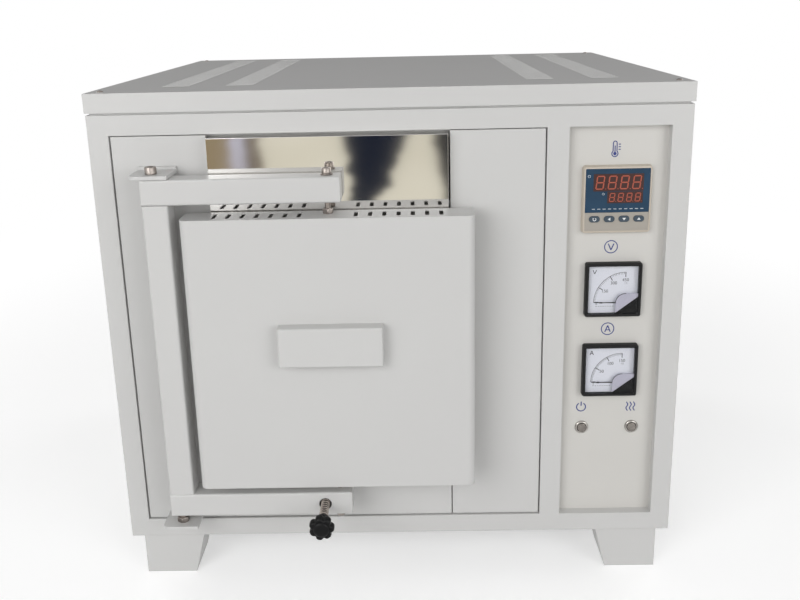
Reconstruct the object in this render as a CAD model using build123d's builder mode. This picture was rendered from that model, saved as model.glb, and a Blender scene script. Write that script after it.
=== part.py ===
from build123d import *
import math
import os

# Box muffle furnace with a door on a swinging arm, in millimetres.
# The front looks along -Y, Z is up, the floor is z = 0.
# The origin is the bottom centre of the whole object's bounding box.

# Cabinet
body_width = 820.0
body_depth = 712.0
body_height = 644.0
foot_height = 65.0
sheet = 1.5
border = 28.0
mullion = 30.0
control_width = 138.0
control_recess = 14.0
bay_recess = 3.0
panel_depth = 14.0
panel_gap = 1.5
panel_fit = 1.0
lip_width = 12.0
corner_return = 25.0
seam = 0.4
rim_inset = 4.0
side_flange = 18.0
cover_gap = 3.0
cover_flange = 26.6
cover_overhang = 1.2
cover_screw_inset = 22.0
cover_screw_side = 16.0
cover_screw_radius = 2.5
screw_head_radius = 4.5
screw_head_height = 2.0
divider_front_gap = 12.0
divider_rear_gap = 40.0
divider_flange = 16.0
divider_top_gap = 12.0

# Feet and base
foot_top = 92.0
foot_bottom = 76.0
foot_inset = 18.0
foot_sheet = 2.0
tray_sheet = 2.0
tray_wall = 25.0

# Ventilation slots
cover_slot_length = 40.0
cover_slot_width = 6.0
cover_slot_rows = 31
cover_slot_front = 92.0
cover_slot_rear = 41.0
cover_strip_inner_share = 0.262
cover_strip_outer_share = 0.3745
side_slot_length = 70.0
side_slot_width = 6.0
side_slot_pitch = 22.0
side_slot_rows = 8
side_slot_shares = (0.3, 0.7)
slot_low_share = 0.23
slot_high_share = 0.745
rear_slot_share = 0.35
tray_slot_gap = 40.0
tray_slot_width = 8.0
tray_slot_share_x = 0.3
tray_slot_share_y = 0.085

# Door
door_side_margin = 4.0
door_end_margin = 3.0
door_depth = 48.0
door_sheet = 1.5
door_plate = 2.0
door_bend = 11.0
door_front = 67.0
door_slot_length = 27.0
door_slot_width = 5.5
door_slot_count = 7
door_slot_pitch_share = 0.0485
door_slot_offset_share = 0.2423
door_fit = 0.2
handle_width = 142.0
handle_height = 54.5
handle_depth = 20.0
handle_sheet = 2.0
handle_bend = 3.0
handle_drop = 4.0

# Arm, hinges and pivots
tube = 35.0
tube_wall = 2.5
tube_radius = 3.0
arm_front = 53.0
arm_right_reach = 18.5
door_to_bar = 17.5
door_to_upright = 15.0
hinge_inset = 12.0
hinge_screw_radius = 5.0
hinge_head_radius = 8.0
hinge_head_height = 10.0
hinge_socket = 8.0
hinge_thread_in_bar = 18.0
hinge_nut_flats = 16.0
hinge_nut_height = 8.0
hinge_jam_height = 6.0
hinge_collar_height = 4.0
hinge_play = 0.3
pivot_screw_radius = 4.0
pivot_head_radius = 6.5
pivot_head_height = 8.0
pivot_socket = 6.0
pivot_washer_radius = 8.5
pivot_washer_height = 1.6
pivot_play = 0.2
pivot_thread_in_door = 14.0
pivot_nut_flats = 13.0
pivot_nut_height = 7.5
socket_depth = 5.0
running_gap = 0.1
thread_gap = 0.05
plate_thickness = 5.0
plate_left_reach = 27.0
plate_right_reach = 25.0
plate_corner = 9.0
plate_upstand = 4.0
lower_plate_drop = 17.0

# Latch
latch_offset = 20.5
latch_rod_radius = 4.0
latch_hole_radius = 9.0
latch_panel_gap = 1.5
latch_rod_chamfer = 1.2
latch_thread_in_knob = 8.0
spring_radius = 6.5
spring_wire = 0.8
spring_turns = 15
spring_sides = 6
spring_gap = 0.3
knob_radius = 18.5
knob_lobes = 7
knob_lobe_radius = 5.0
knob_core_step = 3.0
knob_thickness = 14.0
knob_round = 1.5
knob_hub_radius = 11.0
knob_hub_length = 11.0
knob_dome_low = 12.0
knob_dome_high = 7.0
knob_dome_height = 3.5
knob_dome_sink = 0.5
knob_back = 94.6
latch_tip = 15.0
washer_radius = 8.0
washer_thickness = 1.6
washer_gap = 0.05
latch_nut_flange_radius = 13.0
latch_nut_flange = 2.0
latch_nut_size = 7.5
latch_nut_height = 7.0

# Furnace
furnace_drop = 7.5
furnace_rear_gap = 255.0
case_side_margin = 98.0
case_end_margin = 94.0
case_sheet = 2.0
lining_thickness = 98.0
back_board = 76.0
ring_depth = 60.0
mouth_frame = 29.0
mouth_chamfer = 6.0
mouth_side_margin = 37.0
mouth_proud = 14.0
mouth_plate_rise = 20.5
mouth_plate_top_gap = 4.0
rod_radius = 7.0
rod_gap = 0.4
rod_inset = 16.0
rod_socket = 20.0
rod_pitch_share = 0.3
rod_stub = 40.0
rod_case_gap = 3.0
clamp_low = 12.0
clamp_height = 18.0
clamp_thickness = 4.0
hearth_thickness = 15.0
hearth_side_gap = 3.0
hearth_end_gap = 4.0
hearth_chamfer = 2.0
probe_radius = 4.0
probe_rise_share = 0.275
probe_reach = 40.0
probe_neck_radius = 9.0
probe_neck_length = 12.0
probe_head_radius = 17.0
probe_head_length = 28.0
stand_bar = 25.0
stand_front_gap = 30.0
stand_rear_gap = 10.0

# Door plug
filling_margin = 26.0
plug_clearance = 8.0
plug_entry = 12.0
plug_draft = 4.0
plug_plate_gap = 1.0

# Controls
panel_sheet = 2.0
panel_over = 9.0
controller_size = 96.0
controller_top_gap = 55.0
controller_body_inset = 3.0
controller_cut_inset = 2.5
controller_body_depth = 92.0
controller_vent_width = 12.0
controller_vent_height = 6.0
controller_vent_pitch = 9.0
controller_vent_rows = 8
controller_vent_depth = 3.0
bezel_depth = 9.0
bezel_wall = 4.5
bezel_face = 2.5
bezel_corner = 5.0
bezel_taper = 12.0
window_side_margin = 3.5
window_top_margin = 4.0
window_to_keys = 9.0
window_set = 0.6
window_gap = 0.1
key_low_margin = 21.0
key_side_margin = 7.0
key_space = 5.5
key_height = 9.0
key_proud = 1.2
key_stem = 4.5
key_chamfer = 0.4
instrument_gap = 43.3
meter_size = 80.0
meter_frame = 4.5
meter_corner = 3.0
meter_depth = 11.0
meter_barrel = 31.0
meter_barrel_depth = 42.0
mask_width = 33.0
mask_height = 25.0
mask_gap = 1.0
dial_set = 3.4
dial_sheet = 0.8
lens_set = 0.6
lens_sheet = 1.4
needle_set = 6.2
needle_sheet = 0.8
needle_right = 18.0
needle_drop = -19.5
needle_length = 44.0
needle_tail = 6.0
needle_root = 20.0
needle_hub = 3.2
needle_pin = 1.0
needle_pin_depth = 5.0
needle_pin_gap = 1.0
button_offset = 37.0
button_radius = 10.0
button_barrel = 8.0
button_barrel_depth = 24.0
button_proud = 2.5
button_bore_depth = 8.0
button_nut_radius = 11.5
button_nut_height = 4.0
button_chamfer = 0.8
cap_radius = 6.6
cap_proud = 3.5
cap_depth = 4.5
cap_chamfer = 0.6
fit_gap = 0.3

# Bought electrical parts
contactor_depth_share = 0.295
thyristor_depth_share = 0.463
transformer_depth_share = 0.733
contactor_height_share = 0.466
rail_length = 120.0
rail_width = 35.0
rail_height = 7.5
contactor_width = 46.0
contactor_height = 80.0
contactor_reach = 90.0
contactor_step = 14.0
contactor_step_depth = 20.0
contactor_pole_pitch = 14.0
contactor_screw_radius = 3.5
contactor_screw_height = 3.0
sink_width = 100.0
sink_height = 150.0
sink_plate = 8.0
fin_reach = 37.0
fin_sheet = 3.0
fin_pitch = 12.0
fin_count = 9
module_width = 64.0
module_height = 95.0
module_depth = 28.0
module_rise = 30.0
core_width = 120.0
core_height = 120.0
core_stack = 50.0
core_rise = 6.0
core_window_width = 24.0
core_window_height = 72.0
core_window_rise = 30.0
coil_width = 34.0
coil_depth = 76.0
coil_inset = 2.0
angle_leg = 20.0
angle_sheet = 3.0
terminal_length = 90.0
terminal_depth = 24.0
terminal_height = 22.0
terminal_step = 6.0
terminal_poles = 4
terminal_pitch = 22.0
terminal_cell = 8.0
terminal_screw_radius = 4.0
terminal_screw_height = 4.0
terminal_rear_gap = 60.0

# Rear
gland_reach = 20.0
gland_bore = 7.0
gland_rise = 48.0
gland_thread = 12.5
gland_flats_radius = 17.0
gland_nut = 5.0
gland_flange = 6.0
gland_cap_radius = 14.5
gland_chamfer = 2.5
gland_tail = 9.0

# Places worked out from the dimensions
knob_front = knob_back + knob_hub_length + knob_thickness + knob_dome_height - knob_dome_sink
front = knob_front - (knob_front + body_depth + gland_reach) / 2
rear = front + body_depth
body_low = foot_height
body_top = body_low + body_height
half_width = body_width / 2
bay_width = body_width - 2 * border - mullion - control_width
bay_left = border - half_width
bay_right = bay_left + bay_width
control_left = bay_right + mullion
control_right = half_width - border
opening_low = body_low + border
opening_high = body_top - border
cover_top = body_top + cover_gap + cover_flange
cover_under = cover_top - sheet
cover_slot_pitch = (body_depth - cover_slot_front - cover_slot_rear) / (cover_slot_rows - 1)
cover_strip_inner = body_width * cover_strip_inner_share
cover_strip_outer = body_width * cover_strip_outer_share
lip_plane = front + bay_recess + panel_depth
bay_x = (bay_left + bay_right) / 2
case_width = bay_width - 2 * case_side_margin
case_height = opening_high - opening_low - 2 * case_end_margin
chamber_width = case_width - 2 * lining_thickness - 2 * case_sheet
chamber_height = case_height - 2 * lining_thickness - 2 * case_sheet
chamber_half = chamber_width / 2
chamber_rise = chamber_height / 2
ring_rear = lip_plane + case_sheet + ring_depth
case_rear = rear - furnace_rear_gap
chamber_rear = case_rear - case_sheet - back_board
chamber_depth = chamber_rear - ring_rear
case_half = case_width / 2
case_rise = case_height / 2
inner_half = case_half - case_sheet
inner_rise = case_rise - case_sheet
door_width = case_width - 2 * door_side_margin
door_height = case_height - 2 * door_end_margin
door_half = door_width / 2
door_z = body_low + body_height / 2 - furnace_drop
door_low = door_z - door_height / 2
door_high = door_z + door_height / 2
door_face = front - door_front
door_back = door_face + door_depth
door_slot_pitch = door_width * door_slot_pitch_share
door_slot_offset = door_width * door_slot_offset_share
arm_low = door_low - door_to_bar - tube
arm_high = door_high + door_to_bar + tube
arm_left = bay_x - door_half - door_to_upright - tube
arm_right = bay_x + arm_right_reach
upper_plate_face = arm_high + hinge_play + plate_thickness
lower_plate_face = arm_low - lower_plate_drop
hinge_x = arm_left + hinge_inset
pivot_y = front - arm_front + tube / 2
latch_x = bay_x - latch_offset
latch_z = arm_low + tube / 2
mouth_plate_width = case_width - 2 * mouth_side_margin
mouth_plate_low = door_z - case_rise + mouth_plate_rise
side_panel_width = (bay_width - mouth_plate_width) / 2 - 2 * panel_gap - 2 * panel_fit
plug_half = chamber_half - plug_clearance
plug_rise = chamber_rise - plug_clearance
mouth_half = chamber_half + mouth_frame
mouth_rise = chamber_rise + mouth_frame
probe_z = door_z + chamber_height * probe_rise_share
rod_pitch = chamber_depth * rod_pitch_share
rod_places = [(bay_x + side * (chamber_half - rod_inset),
               (ring_rear + chamber_rear) / 2 + step * rod_pitch)
              for side in (-1, 1) for step in (-1, 0, 1)]
screw_places = [(side * (half_width - cover_screw_side), y)
                for side in (-1, 1)
                for y in (front + cover_screw_inset, rear - cover_screw_inset)]
tray_top = body_low + tray_sheet
tray_slot_pitch = case_width * tray_slot_share_x
divider_x = control_left - mullion / 2
control_x = (control_left + control_right) / 2
control_plane = front + control_recess
controller_z = opening_high - controller_top_gap - controller_size / 2
key_z = controller_z - controller_size / 2 + key_low_margin
key_pitch = (controller_size - 2 * key_side_margin) / 4
key_width = key_pitch - key_space
window_half = controller_size / 2 - window_side_margin
window_low = key_z + window_to_keys
window_high = controller_z + controller_size / 2 - window_top_margin
meter_step = meter_size + instrument_gap
meter_high = controller_z - controller_size / 2 - instrument_gap - meter_size / 2
meter_heights = (meter_high, meter_high - meter_step)
button_z = meter_high - meter_step - meter_size / 2 - instrument_gap - button_radius
dial_plane = control_plane - dial_set
dial_rear = dial_plane + dial_sheet
needle_plane = control_plane - needle_set
needle_x = control_x + needle_right
gland_x = control_x
gland_z = body_low + gland_rise


def block(x0, x1, y0, y1, z0, z1, mode=Mode.ADD):
    """Adds or cuts the box between two opposite corners."""
    with Locations(((x0 + x1) / 2, (y0 + y1) / 2, (z0 + z1) / 2)):
        Box(abs(x1 - x0), abs(y1 - y0), abs(z1 - z0), mode=mode)


def rod_z(x, y, z0, z1, radius, mode=Mode.ADD):
    """Adds or cuts an upright cylinder between two heights."""
    with Locations((x, y, (z0 + z1) / 2)):
        Cylinder(radius, abs(z1 - z0), mode=mode)


def rod_y(x, z, y0, y1, radius, mode=Mode.ADD):
    """Adds or cuts a cylinder that lies front to back."""
    with Locations(Location((x, (y0 + y1) / 2, z), (90, 0, 0))):
        Cylinder(radius, abs(y1 - y0), mode=mode)


def hex_z(x, y, z0, z1, across_flats):
    """Adds an upright hexagonal prism between two heights."""
    with BuildSketch(Plane((x, y, z0))) as outline:
        RegularPolygon(across_flats / math.sqrt(3), 6)
    extrude(outline.sketch, amount=z1 - z0)


def folded_tray(x0, x1, z0, z1, y_face, depth, thickness):
    """Adds a panel with its four edges folded back, open at the rear."""
    block(x0, x1, y_face, y_face + depth, z0, z1)
    block(x0 + thickness, x1 - thickness, y_face + thickness, y_face + depth,
          z0 + thickness, z1 - thickness, Mode.SUBTRACT)


def save(part, name):
    """Labels a finished piece and writes it."""
    part.label = name
    export_step(part, "parts/" + name + ".step")


# Cabinet

def build_base_tray():
    """Floor tray with upturned walls and three rows of air intake slots."""
    x = half_width - sheet
    with BuildPart() as base_tray:
        block(-x, x, front + sheet, rear - sheet, body_low, body_low + tray_wall)
        block(-x + tray_sheet, x - tray_sheet, front + sheet + tray_sheet,
              rear - sheet - tray_sheet, tray_top, body_low + tray_wall, Mode.SUBTRACT)
        with BuildSketch(Plane.XY.offset(body_low)):
            with Locations((bay_x, (front + rear) / 2)):
                with GridLocations(tray_slot_pitch, body_depth * tray_slot_share_y, 3, 5):
                    Rectangle(tray_slot_pitch - tray_slot_gap, tray_slot_width)
        extrude(amount=tray_sheet, mode=Mode.SUBTRACT)
    return base_tray.part


def foot_profile(x, y, size, height, side, end):
    """Gives a square of one foot; its outer corner stays on the same plumb line."""
    with BuildSketch(Plane.XY.offset(height)) as profile:
        with Locations((x - side * (size / 2), y - end * (size / 2))):
            Rectangle(size, size)
    return profile.sketch


def build_feet():
    """Four folded feet, plumb outside and tapered inside."""
    with BuildPart() as feet:
        for side in (-1, 1):
            for end in (-1, 1):
                x = side * (half_width - foot_inset)
                y = (front if end < 0 else rear) - end * foot_sheet
                loft([foot_profile(x, y, foot_bottom, 0, side, end),
                      foot_profile(x, y, foot_top, body_low, side, end)])
                x -= side * foot_sheet
                y -= end * foot_sheet
                loft([foot_profile(x, y, foot_bottom - 2 * foot_sheet, foot_sheet, side, end),
                      foot_profile(x, y, foot_top - 2 * foot_sheet, body_low, side, end)],
                     mode=Mode.SUBTRACT)
    return feet.part


def build_front_frame():
    """Front frame: a border round two openings, folded back at every edge."""
    with BuildPart() as front_frame:
        block(-half_width, half_width, front, front + corner_return, body_low, body_top)
        block(-half_width + sheet, half_width - sheet, front + sheet, front + corner_return,
              body_low, body_top - sheet, Mode.SUBTRACT)
        rim = half_width - rim_inset
        block(-rim, rim, front + rim_inset, front + corner_return, body_top, cover_under)
        block(-rim, rim, front + rim_inset + sheet, front + corner_return,
              body_top - sheet, cover_under - sheet, Mode.SUBTRACT)
        block(-rim + corner_return, rim - corner_return, front + rim_inset + 2 * sheet,
              front + corner_return, body_top - sheet, cover_under, Mode.SUBTRACT)
        block(bay_left - sheet, bay_right + sheet, front, lip_plane + sheet,
              opening_low - sheet, opening_high + sheet)
        block(control_left - sheet, control_right + sheet, front, control_plane,
              opening_low - sheet, opening_high + sheet)
        block(bay_left, bay_right, front, lip_plane, opening_low, opening_high, Mode.SUBTRACT)
        block(bay_left + lip_width, bay_right - lip_width, lip_plane, lip_plane + sheet,
              opening_low + lip_width, opening_high - lip_width, Mode.SUBTRACT)
        block(control_left, control_right, front, control_plane,
              opening_low, opening_high, Mode.SUBTRACT)
    return front_frame.part


def cut_side_slots(plane):
    """Cuts one column of punched slots through a cabinet sheet."""
    with BuildSketch(plane) as slots:
        with GridLocations(1, side_slot_pitch, 1, side_slot_rows):
            Rectangle(side_slot_length, side_slot_width)
    extrude(slots.sketch, amount=sheet, mode=Mode.SUBTRACT)


def build_side_panel(side):
    """Side panel with folded edges, a stepped rim for the cover and vent slots."""
    outer = side * half_width
    skin = outer - side * sheet
    back_flange = outer - side * side_flange
    y0 = front + corner_return + seam
    y1 = rear - sheet - seam
    rim = outer - side * rim_inset
    with BuildPart() as panel:
        block(outer, skin, y0, y1, body_low, body_top)
        block(outer, back_flange, y0, y0 + sheet, body_low + tray_wall + seam, body_top)
        block(outer, back_flange, y1 - sheet, y1, body_low + tray_wall + seam, body_top)
        block(outer, rim - side * sheet, y0, y1, body_top - sheet, body_top)
        block(rim, rim - side * sheet, y0, y1, body_top - sheet, cover_under)
        block(rim, rim - side * side_flange, y0, y1, cover_under - sheet, cover_under)
        for height in (slot_low_share, slot_high_share):
            low = body_low + height * body_height
            for share in side_slot_shares:
                y = y0 + share * (y1 - y0)
                cut_side_slots(Plane(origin=(skin, y, low), x_dir=(0, 1, 0),
                                     z_dir=(side, 0, 0)))
    return panel.part


def build_rear_panel():
    """Rear panel with vent slots and the hole for the cable gland."""
    rim = half_width - rim_inset - side_flange - seam
    y_rim = rear - rim_inset
    with BuildPart() as rear_panel:
        block(-half_width, half_width, rear - sheet, rear, body_low, body_top)
        block(-rim, rim, y_rim - sheet, rear, body_top - sheet, body_top)
        block(-rim, rim, y_rim - sheet, y_rim, body_top - sheet, cover_under)
        z = body_low + slot_high_share * body_height
        apart = case_width * rear_slot_share
        for x in (bay_x - apart, bay_x + apart, control_x):
            cut_side_slots(Plane(origin=(x, rear - sheet, z), x_dir=(1, 0, 0),
                                 z_dir=(0, 1, 0)))
        rod_y(gland_x, gland_z, rear - sheet, rear, gland_thread + fit_gap, Mode.SUBTRACT)
    return rear_panel.part


def build_top_cover():
    """Lid tray with four strips of cross slots and four screw holes."""
    x = half_width + cover_overhang
    y0 = front - cover_overhang
    y1 = rear + cover_overhang
    low = body_top + cover_gap
    with BuildPart() as top_cover:
        block(-x, x, y0, y1, low, cover_top)
        block(-x + sheet, x - sheet, y0 + sheet, y1 - sheet, low, cover_under, Mode.SUBTRACT)
        rows_y = (front + cover_slot_front + rear - cover_slot_rear) / 2
        with BuildSketch(Plane.XY.offset(cover_under)):
            for strip in (cover_strip_inner, cover_strip_outer):
                with Locations((strip, rows_y), (-strip, rows_y)):
                    with GridLocations(1, cover_slot_pitch, 1, cover_slot_rows):
                        Rectangle(cover_slot_length, cover_slot_width)
        extrude(amount=sheet, mode=Mode.SUBTRACT)
        for sx, sy in screw_places:
            rod_z(sx, sy, cover_under, cover_top, cover_screw_radius + running_gap,
                  Mode.SUBTRACT)
    return top_cover.part


def build_cover_screws():
    """Four pan head screws that hold the lid to the stepped rim."""
    with BuildPart() as cover_screws:
        for x, y in screw_places:
            rod_z(x, y, cover_top, cover_top + screw_head_height, screw_head_radius)
            rod_z(x, y, cover_under, cover_top, cover_screw_radius)
    return cover_screws.part


def build_divider_panel():
    """Sheet wall between the furnace bay and the control bay."""
    x = divider_x
    y0 = control_plane + divider_front_gap
    y1 = rear - divider_rear_gap
    top = body_top - divider_top_gap
    with BuildPart() as divider_panel:
        block(x, x + sheet, y0, y1, tray_top, top)
        block(x, x + divider_flange, y0, y1, tray_top, tray_top + sheet)
        block(x, x + divider_flange, y0, y1, top - sheet, top)
    return divider_panel.part


# Panels in the bay

def build_bay_side_panel(side):
    """Painted infill panel at one side of the door, slotted for the hinge plates."""
    if side < 0:
        x0 = bay_left + panel_gap
        x1 = x0 + side_panel_width
    else:
        x1 = bay_right - panel_gap
        x0 = x1 - side_panel_width
    with BuildPart() as panel:
        folded_tray(x0, x1, opening_low + panel_gap, opening_high - panel_gap,
                    front + bay_recess, panel_depth, sheet)
    return panel.part


def build_bay_lower_panel():
    """Painted infill panel below the mouth plate, with the latch hole."""
    x0 = bay_left + side_panel_width + 2 * panel_gap
    x1 = bay_right - side_panel_width - 2 * panel_gap
    face = front + bay_recess
    with BuildPart() as bay_lower_panel:
        folded_tray(x0, x1, opening_low + panel_gap, mouth_plate_low - panel_gap,
                    face, panel_depth, sheet)
        rod_y(latch_x, latch_z, face, face + sheet, latch_rod_radius + latch_panel_gap,
              Mode.SUBTRACT)
    return bay_lower_panel.part


def mouth_hole(y0, y1):
    """Cuts the opening that the mouth ring's neck passes through."""
    x = mouth_half + fit_gap
    z = mouth_rise + fit_gap
    block(bay_x - x, bay_x + x, y0, y1, door_z - z, door_z + z, Mode.SUBTRACT)


def build_mouth_plate():
    """Polished tray round the furnace mouth, standing proud of the bay."""
    half = mouth_plate_width / 2
    face = front - mouth_proud
    with BuildPart() as mouth_plate:
        folded_tray(bay_x - half, bay_x + half, mouth_plate_low,
                    opening_high - mouth_plate_top_gap, face, lip_plane - face, sheet)
        mouth_hole(face, face + sheet)
    return mouth_plate.part


def build_control_panel():
    """Flat instrument panel with cut-outs, fixed behind the frame's folds."""
    back = control_plane + panel_sheet
    with BuildPart() as control_panel:
        block(control_left - panel_over, control_right + panel_over, control_plane, back,
              opening_low - panel_over, opening_high + panel_over)
        half = controller_size / 2 - controller_cut_inset
        block(control_x - half, control_x + half, control_plane, back,
              controller_z - half, controller_z + half, Mode.SUBTRACT)
        for z in meter_heights:
            rod_y(control_x, z, control_plane, back, meter_barrel + fit_gap, Mode.SUBTRACT)
        for side in (-1, 1):
            rod_y(control_x + side * button_offset, button_z, control_plane, back,
                  button_barrel + fit_gap, Mode.SUBTRACT)
    return control_panel.part


# Temperature controller

def build_controller_body():
    """Plastic case of the controller behind the panel, with rear terminal pockets."""
    half = controller_size / 2 - controller_body_inset
    back = control_plane + controller_body_depth
    with BuildPart() as controller_body:
        block(control_x - half, control_x + half, control_plane, back,
              controller_z - half, controller_z + half)
        fillet(controller_body.edges().filter_by(Axis.Y), controller_body_inset)
        with BuildSketch(Plane(origin=(control_x, back, controller_z), x_dir=(1, 0, 0),
                               z_dir=(0, 1, 0))):
            with GridLocations(2 * half / 3, controller_vent_pitch, 3, controller_vent_rows):
                Rectangle(controller_vent_width, controller_vent_height)
        extrude(amount=-controller_vent_depth, mode=Mode.SUBTRACT)
    return controller_body.part


def build_controller_bezel():
    """Front frame with a window opening and four key openings."""
    face = control_plane - bezel_depth
    with BuildPart() as controller_bezel:
        with BuildSketch(Plane(origin=(control_x, control_plane, controller_z),
                               x_dir=(1, 0, 0), z_dir=(0, -1, 0))):
            RectangleRounded(controller_size, controller_size, bezel_corner)
        extrude(amount=bezel_depth, taper=bezel_taper)
        inner = controller_size / 2 - bezel_wall
        block(control_x - inner, control_x + inner, face + bezel_face, control_plane,
              controller_z - inner, controller_z + inner, Mode.SUBTRACT)
        block(control_x - window_half, control_x + window_half, face, face + bezel_face,
              window_low, window_high, Mode.SUBTRACT)
        with BuildSketch(Plane(origin=(control_x, face + bezel_face, key_z),
                               x_dir=(1, 0, 0), z_dir=(0, -1, 0))):
            with GridLocations(key_pitch, 1, 4, 1):
                SlotOverall(key_width + 2 * fit_gap, key_height + 2 * fit_gap)
        extrude(amount=bezel_face, mode=Mode.SUBTRACT)
    return controller_bezel.part


def build_controller_display():
    """Tinted window of the controller, let into the bezel."""
    face = control_plane - bezel_depth
    w = window_half - window_gap
    with BuildPart() as controller_display:
        block(control_x - w, control_x + w, face + window_set, face + bezel_face,
              window_low + window_gap, window_high - window_gap)
    return controller_display.part


def build_key(index):
    """One oval key of the controller, counted from the left."""
    x = control_x + (index - 1.5) * key_pitch
    face = control_plane - bezel_depth
    with BuildPart() as key:
        with BuildSketch(Plane(origin=(x, face + key_stem, key_z), x_dir=(1, 0, 0),
                               z_dir=(0, -1, 0))):
            SlotOverall(key_width, key_height)
        extrude(amount=key_stem + key_proud)
        chamfer(key.faces().sort_by(Axis.Y)[0].edges(), key_chamfer)
    return key.part


# Panel meters

def build_meter_case(z):
    """Black square case with a round barrel, a dial recess and a corner mask."""
    face = control_plane - meter_depth
    inner = meter_size / 2 - meter_frame
    mask_back = needle_plane - mask_gap
    with BuildPart() as meter_case:
        with BuildSketch(Plane(origin=(control_x, control_plane, z), x_dir=(1, 0, 0),
                               z_dir=(0, -1, 0))):
            RectangleRounded(meter_size, meter_size, meter_corner)
        extrude(amount=meter_depth)
        rod_y(control_x, z, control_plane, control_plane + meter_barrel_depth, meter_barrel)
        block(control_x - inner, control_x + inner, face, dial_rear,
              z - inner, z + inner, Mode.SUBTRACT)
        with BuildSketch(Plane(origin=(control_x, mask_back, z), x_dir=(1, 0, 0),
                               z_dir=(0, -1, 0))):
            with BuildLine():
                Polyline((inner, -inner), (inner, mask_height - inner),
                         (inner - mask_width, -inner), (inner, -inner))
            make_face()
        extrude(amount=mask_back - (face + lens_set + lens_sheet + fit_gap))
        rod_y(needle_x, z + needle_drop, dial_plane,
              dial_rear + needle_pin_depth + needle_pin_gap, needle_pin + running_gap,
              Mode.SUBTRACT)
    return meter_case.part


def build_meter_dials():
    """Two plain dial plates, one in each meter."""
    inner = meter_size / 2 - meter_frame - window_gap
    with BuildPart() as meter_dials:
        for z in meter_heights:
            block(control_x - inner, control_x + inner, dial_plane, dial_rear,
                  z - inner, z + inner)
            rod_y(needle_x, z + needle_drop, dial_plane, dial_rear,
                  needle_pin + running_gap, Mode.SUBTRACT)
    return meter_dials.part


def build_needle(z):
    """Pointer on its pivot pin, lying on zero."""
    zn = z + needle_drop
    front_face = needle_plane + needle_sheet
    half = needle_hub / 3
    with BuildPart() as needle:
        with BuildSketch(Plane(origin=(needle_x, front_face, zn), x_dir=(1, 0, 0),
                               z_dir=(0, -1, 0))):
            with BuildLine():
                Polyline((needle_tail, half), (-needle_root, half),
                         (-needle_length, half / 3), (-needle_length, -half / 3),
                         (-needle_root, -half), (needle_tail, -half), (needle_tail, half))
            make_face()
            Circle(needle_hub)
        extrude(amount=needle_sheet)
        rod_y(needle_x, zn, needle_plane, dial_rear + needle_pin_depth, needle_pin)
    return needle.part


def build_meter_lenses():
    """Two clear covers, one over each dial."""
    inner = meter_size / 2 - meter_frame - window_gap
    face = control_plane - meter_depth + lens_set
    with BuildPart() as meter_lenses:
        for z in meter_heights:
            block(control_x - inner, control_x + inner, face, face + lens_sheet,
                  z - inner, z + inner)
    return meter_lenses.part


# Push buttons

def build_button_body(side):
    """Metal collar, threaded barrel and panel nut of one push button."""
    x = control_x + side * button_offset
    face = control_plane - button_proud
    with BuildPart() as button_body:
        rod_y(x, button_z, face, control_plane, button_radius)
        chamfer(button_body.faces().sort_by(Axis.Y)[0].edges(), button_chamfer)
        rod_y(x, button_z, control_plane, control_plane + button_barrel_depth, button_barrel)
        with BuildSketch(Plane(origin=(x, control_plane + panel_sheet, button_z),
                               x_dir=(1, 0, 0), z_dir=(0, 1, 0))):
            RegularPolygon(button_nut_radius, 6)
        extrude(amount=button_nut_height)
        rod_y(x, button_z, face, control_plane + button_bore_depth, cap_radius + fit_gap,
              Mode.SUBTRACT)
    return button_body.part


def build_button_cap(side):
    """Moving cap of one push button."""
    x = control_x + side * button_offset
    with BuildPart() as button_cap:
        rod_y(x, button_z, control_plane - cap_proud, control_plane + cap_depth, cap_radius)
        chamfer(button_cap.faces().sort_by(Axis.Y)[0].edges(), cap_chamfer)
    return button_cap.part


# Hinges and arm

def build_hinge_plate(top_face):
    """Welded hinge plate: a flat ear with a low upstand on the bay panel."""
    low = top_face - plate_thickness
    x0 = hinge_x - plate_left_reach
    x1 = hinge_x + plate_right_reach
    face = front + bay_recess
    with BuildPart() as hinge_plate:
        with BuildSketch(Plane.XY.offset(low)):
            with Locations(((x0 + x1) / 2, (front - arm_front + face) / 2)):
                Rectangle(x1 - x0, arm_front + bay_recess)
            fillet(vertices().sort_by(Axis.X)[:2].sort_by(Axis.Y)[0], plate_corner)
        extrude(amount=plate_thickness)
        block(x0, x1, face - plate_thickness, face, low, top_face + plate_upstand)
        rod_z(hinge_x, pivot_y, low, top_face, hinge_screw_radius + running_gap,
              Mode.SUBTRACT)
    return hinge_plate.part


def build_hinge_screws():
    """Two hinge screws; the lower one is a jack screw with a nut and a thrust collar."""
    head_top = upper_plate_face + hinge_head_height
    plate_low = lower_plate_face - plate_thickness
    collar_top = arm_low - hinge_play
    with BuildPart() as hinge_screws:
        rod_z(hinge_x, pivot_y, upper_plate_face, head_top, hinge_head_radius)
        hex_cut(hinge_x, pivot_y, head_top, hinge_socket)
        rod_z(hinge_x, pivot_y, arm_high - hinge_thread_in_bar, upper_plate_face,
              hinge_screw_radius)
        hex_z(hinge_x, pivot_y, plate_low - hinge_jam_height, plate_low, hinge_nut_flats)
        rod_z(hinge_x, pivot_y, plate_low, arm_low + hinge_thread_in_bar, hinge_screw_radius)
        hex_z(hinge_x, pivot_y, lower_plate_face, lower_plate_face + hinge_nut_height,
              hinge_nut_flats)
        rod_z(hinge_x, pivot_y, collar_top - hinge_collar_height, collar_top,
              hinge_head_radius)
    return hinge_screws.part


def hex_cut(x, y, top, across_flats):
    """Cuts a hexagon socket into the top of a cap screw."""
    with BuildSketch(Plane((x, y, top))) as socket:
        RegularPolygon(across_flats / math.sqrt(3), 6)
    extrude(socket.sketch, amount=-socket_depth, mode=Mode.SUBTRACT)


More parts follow.
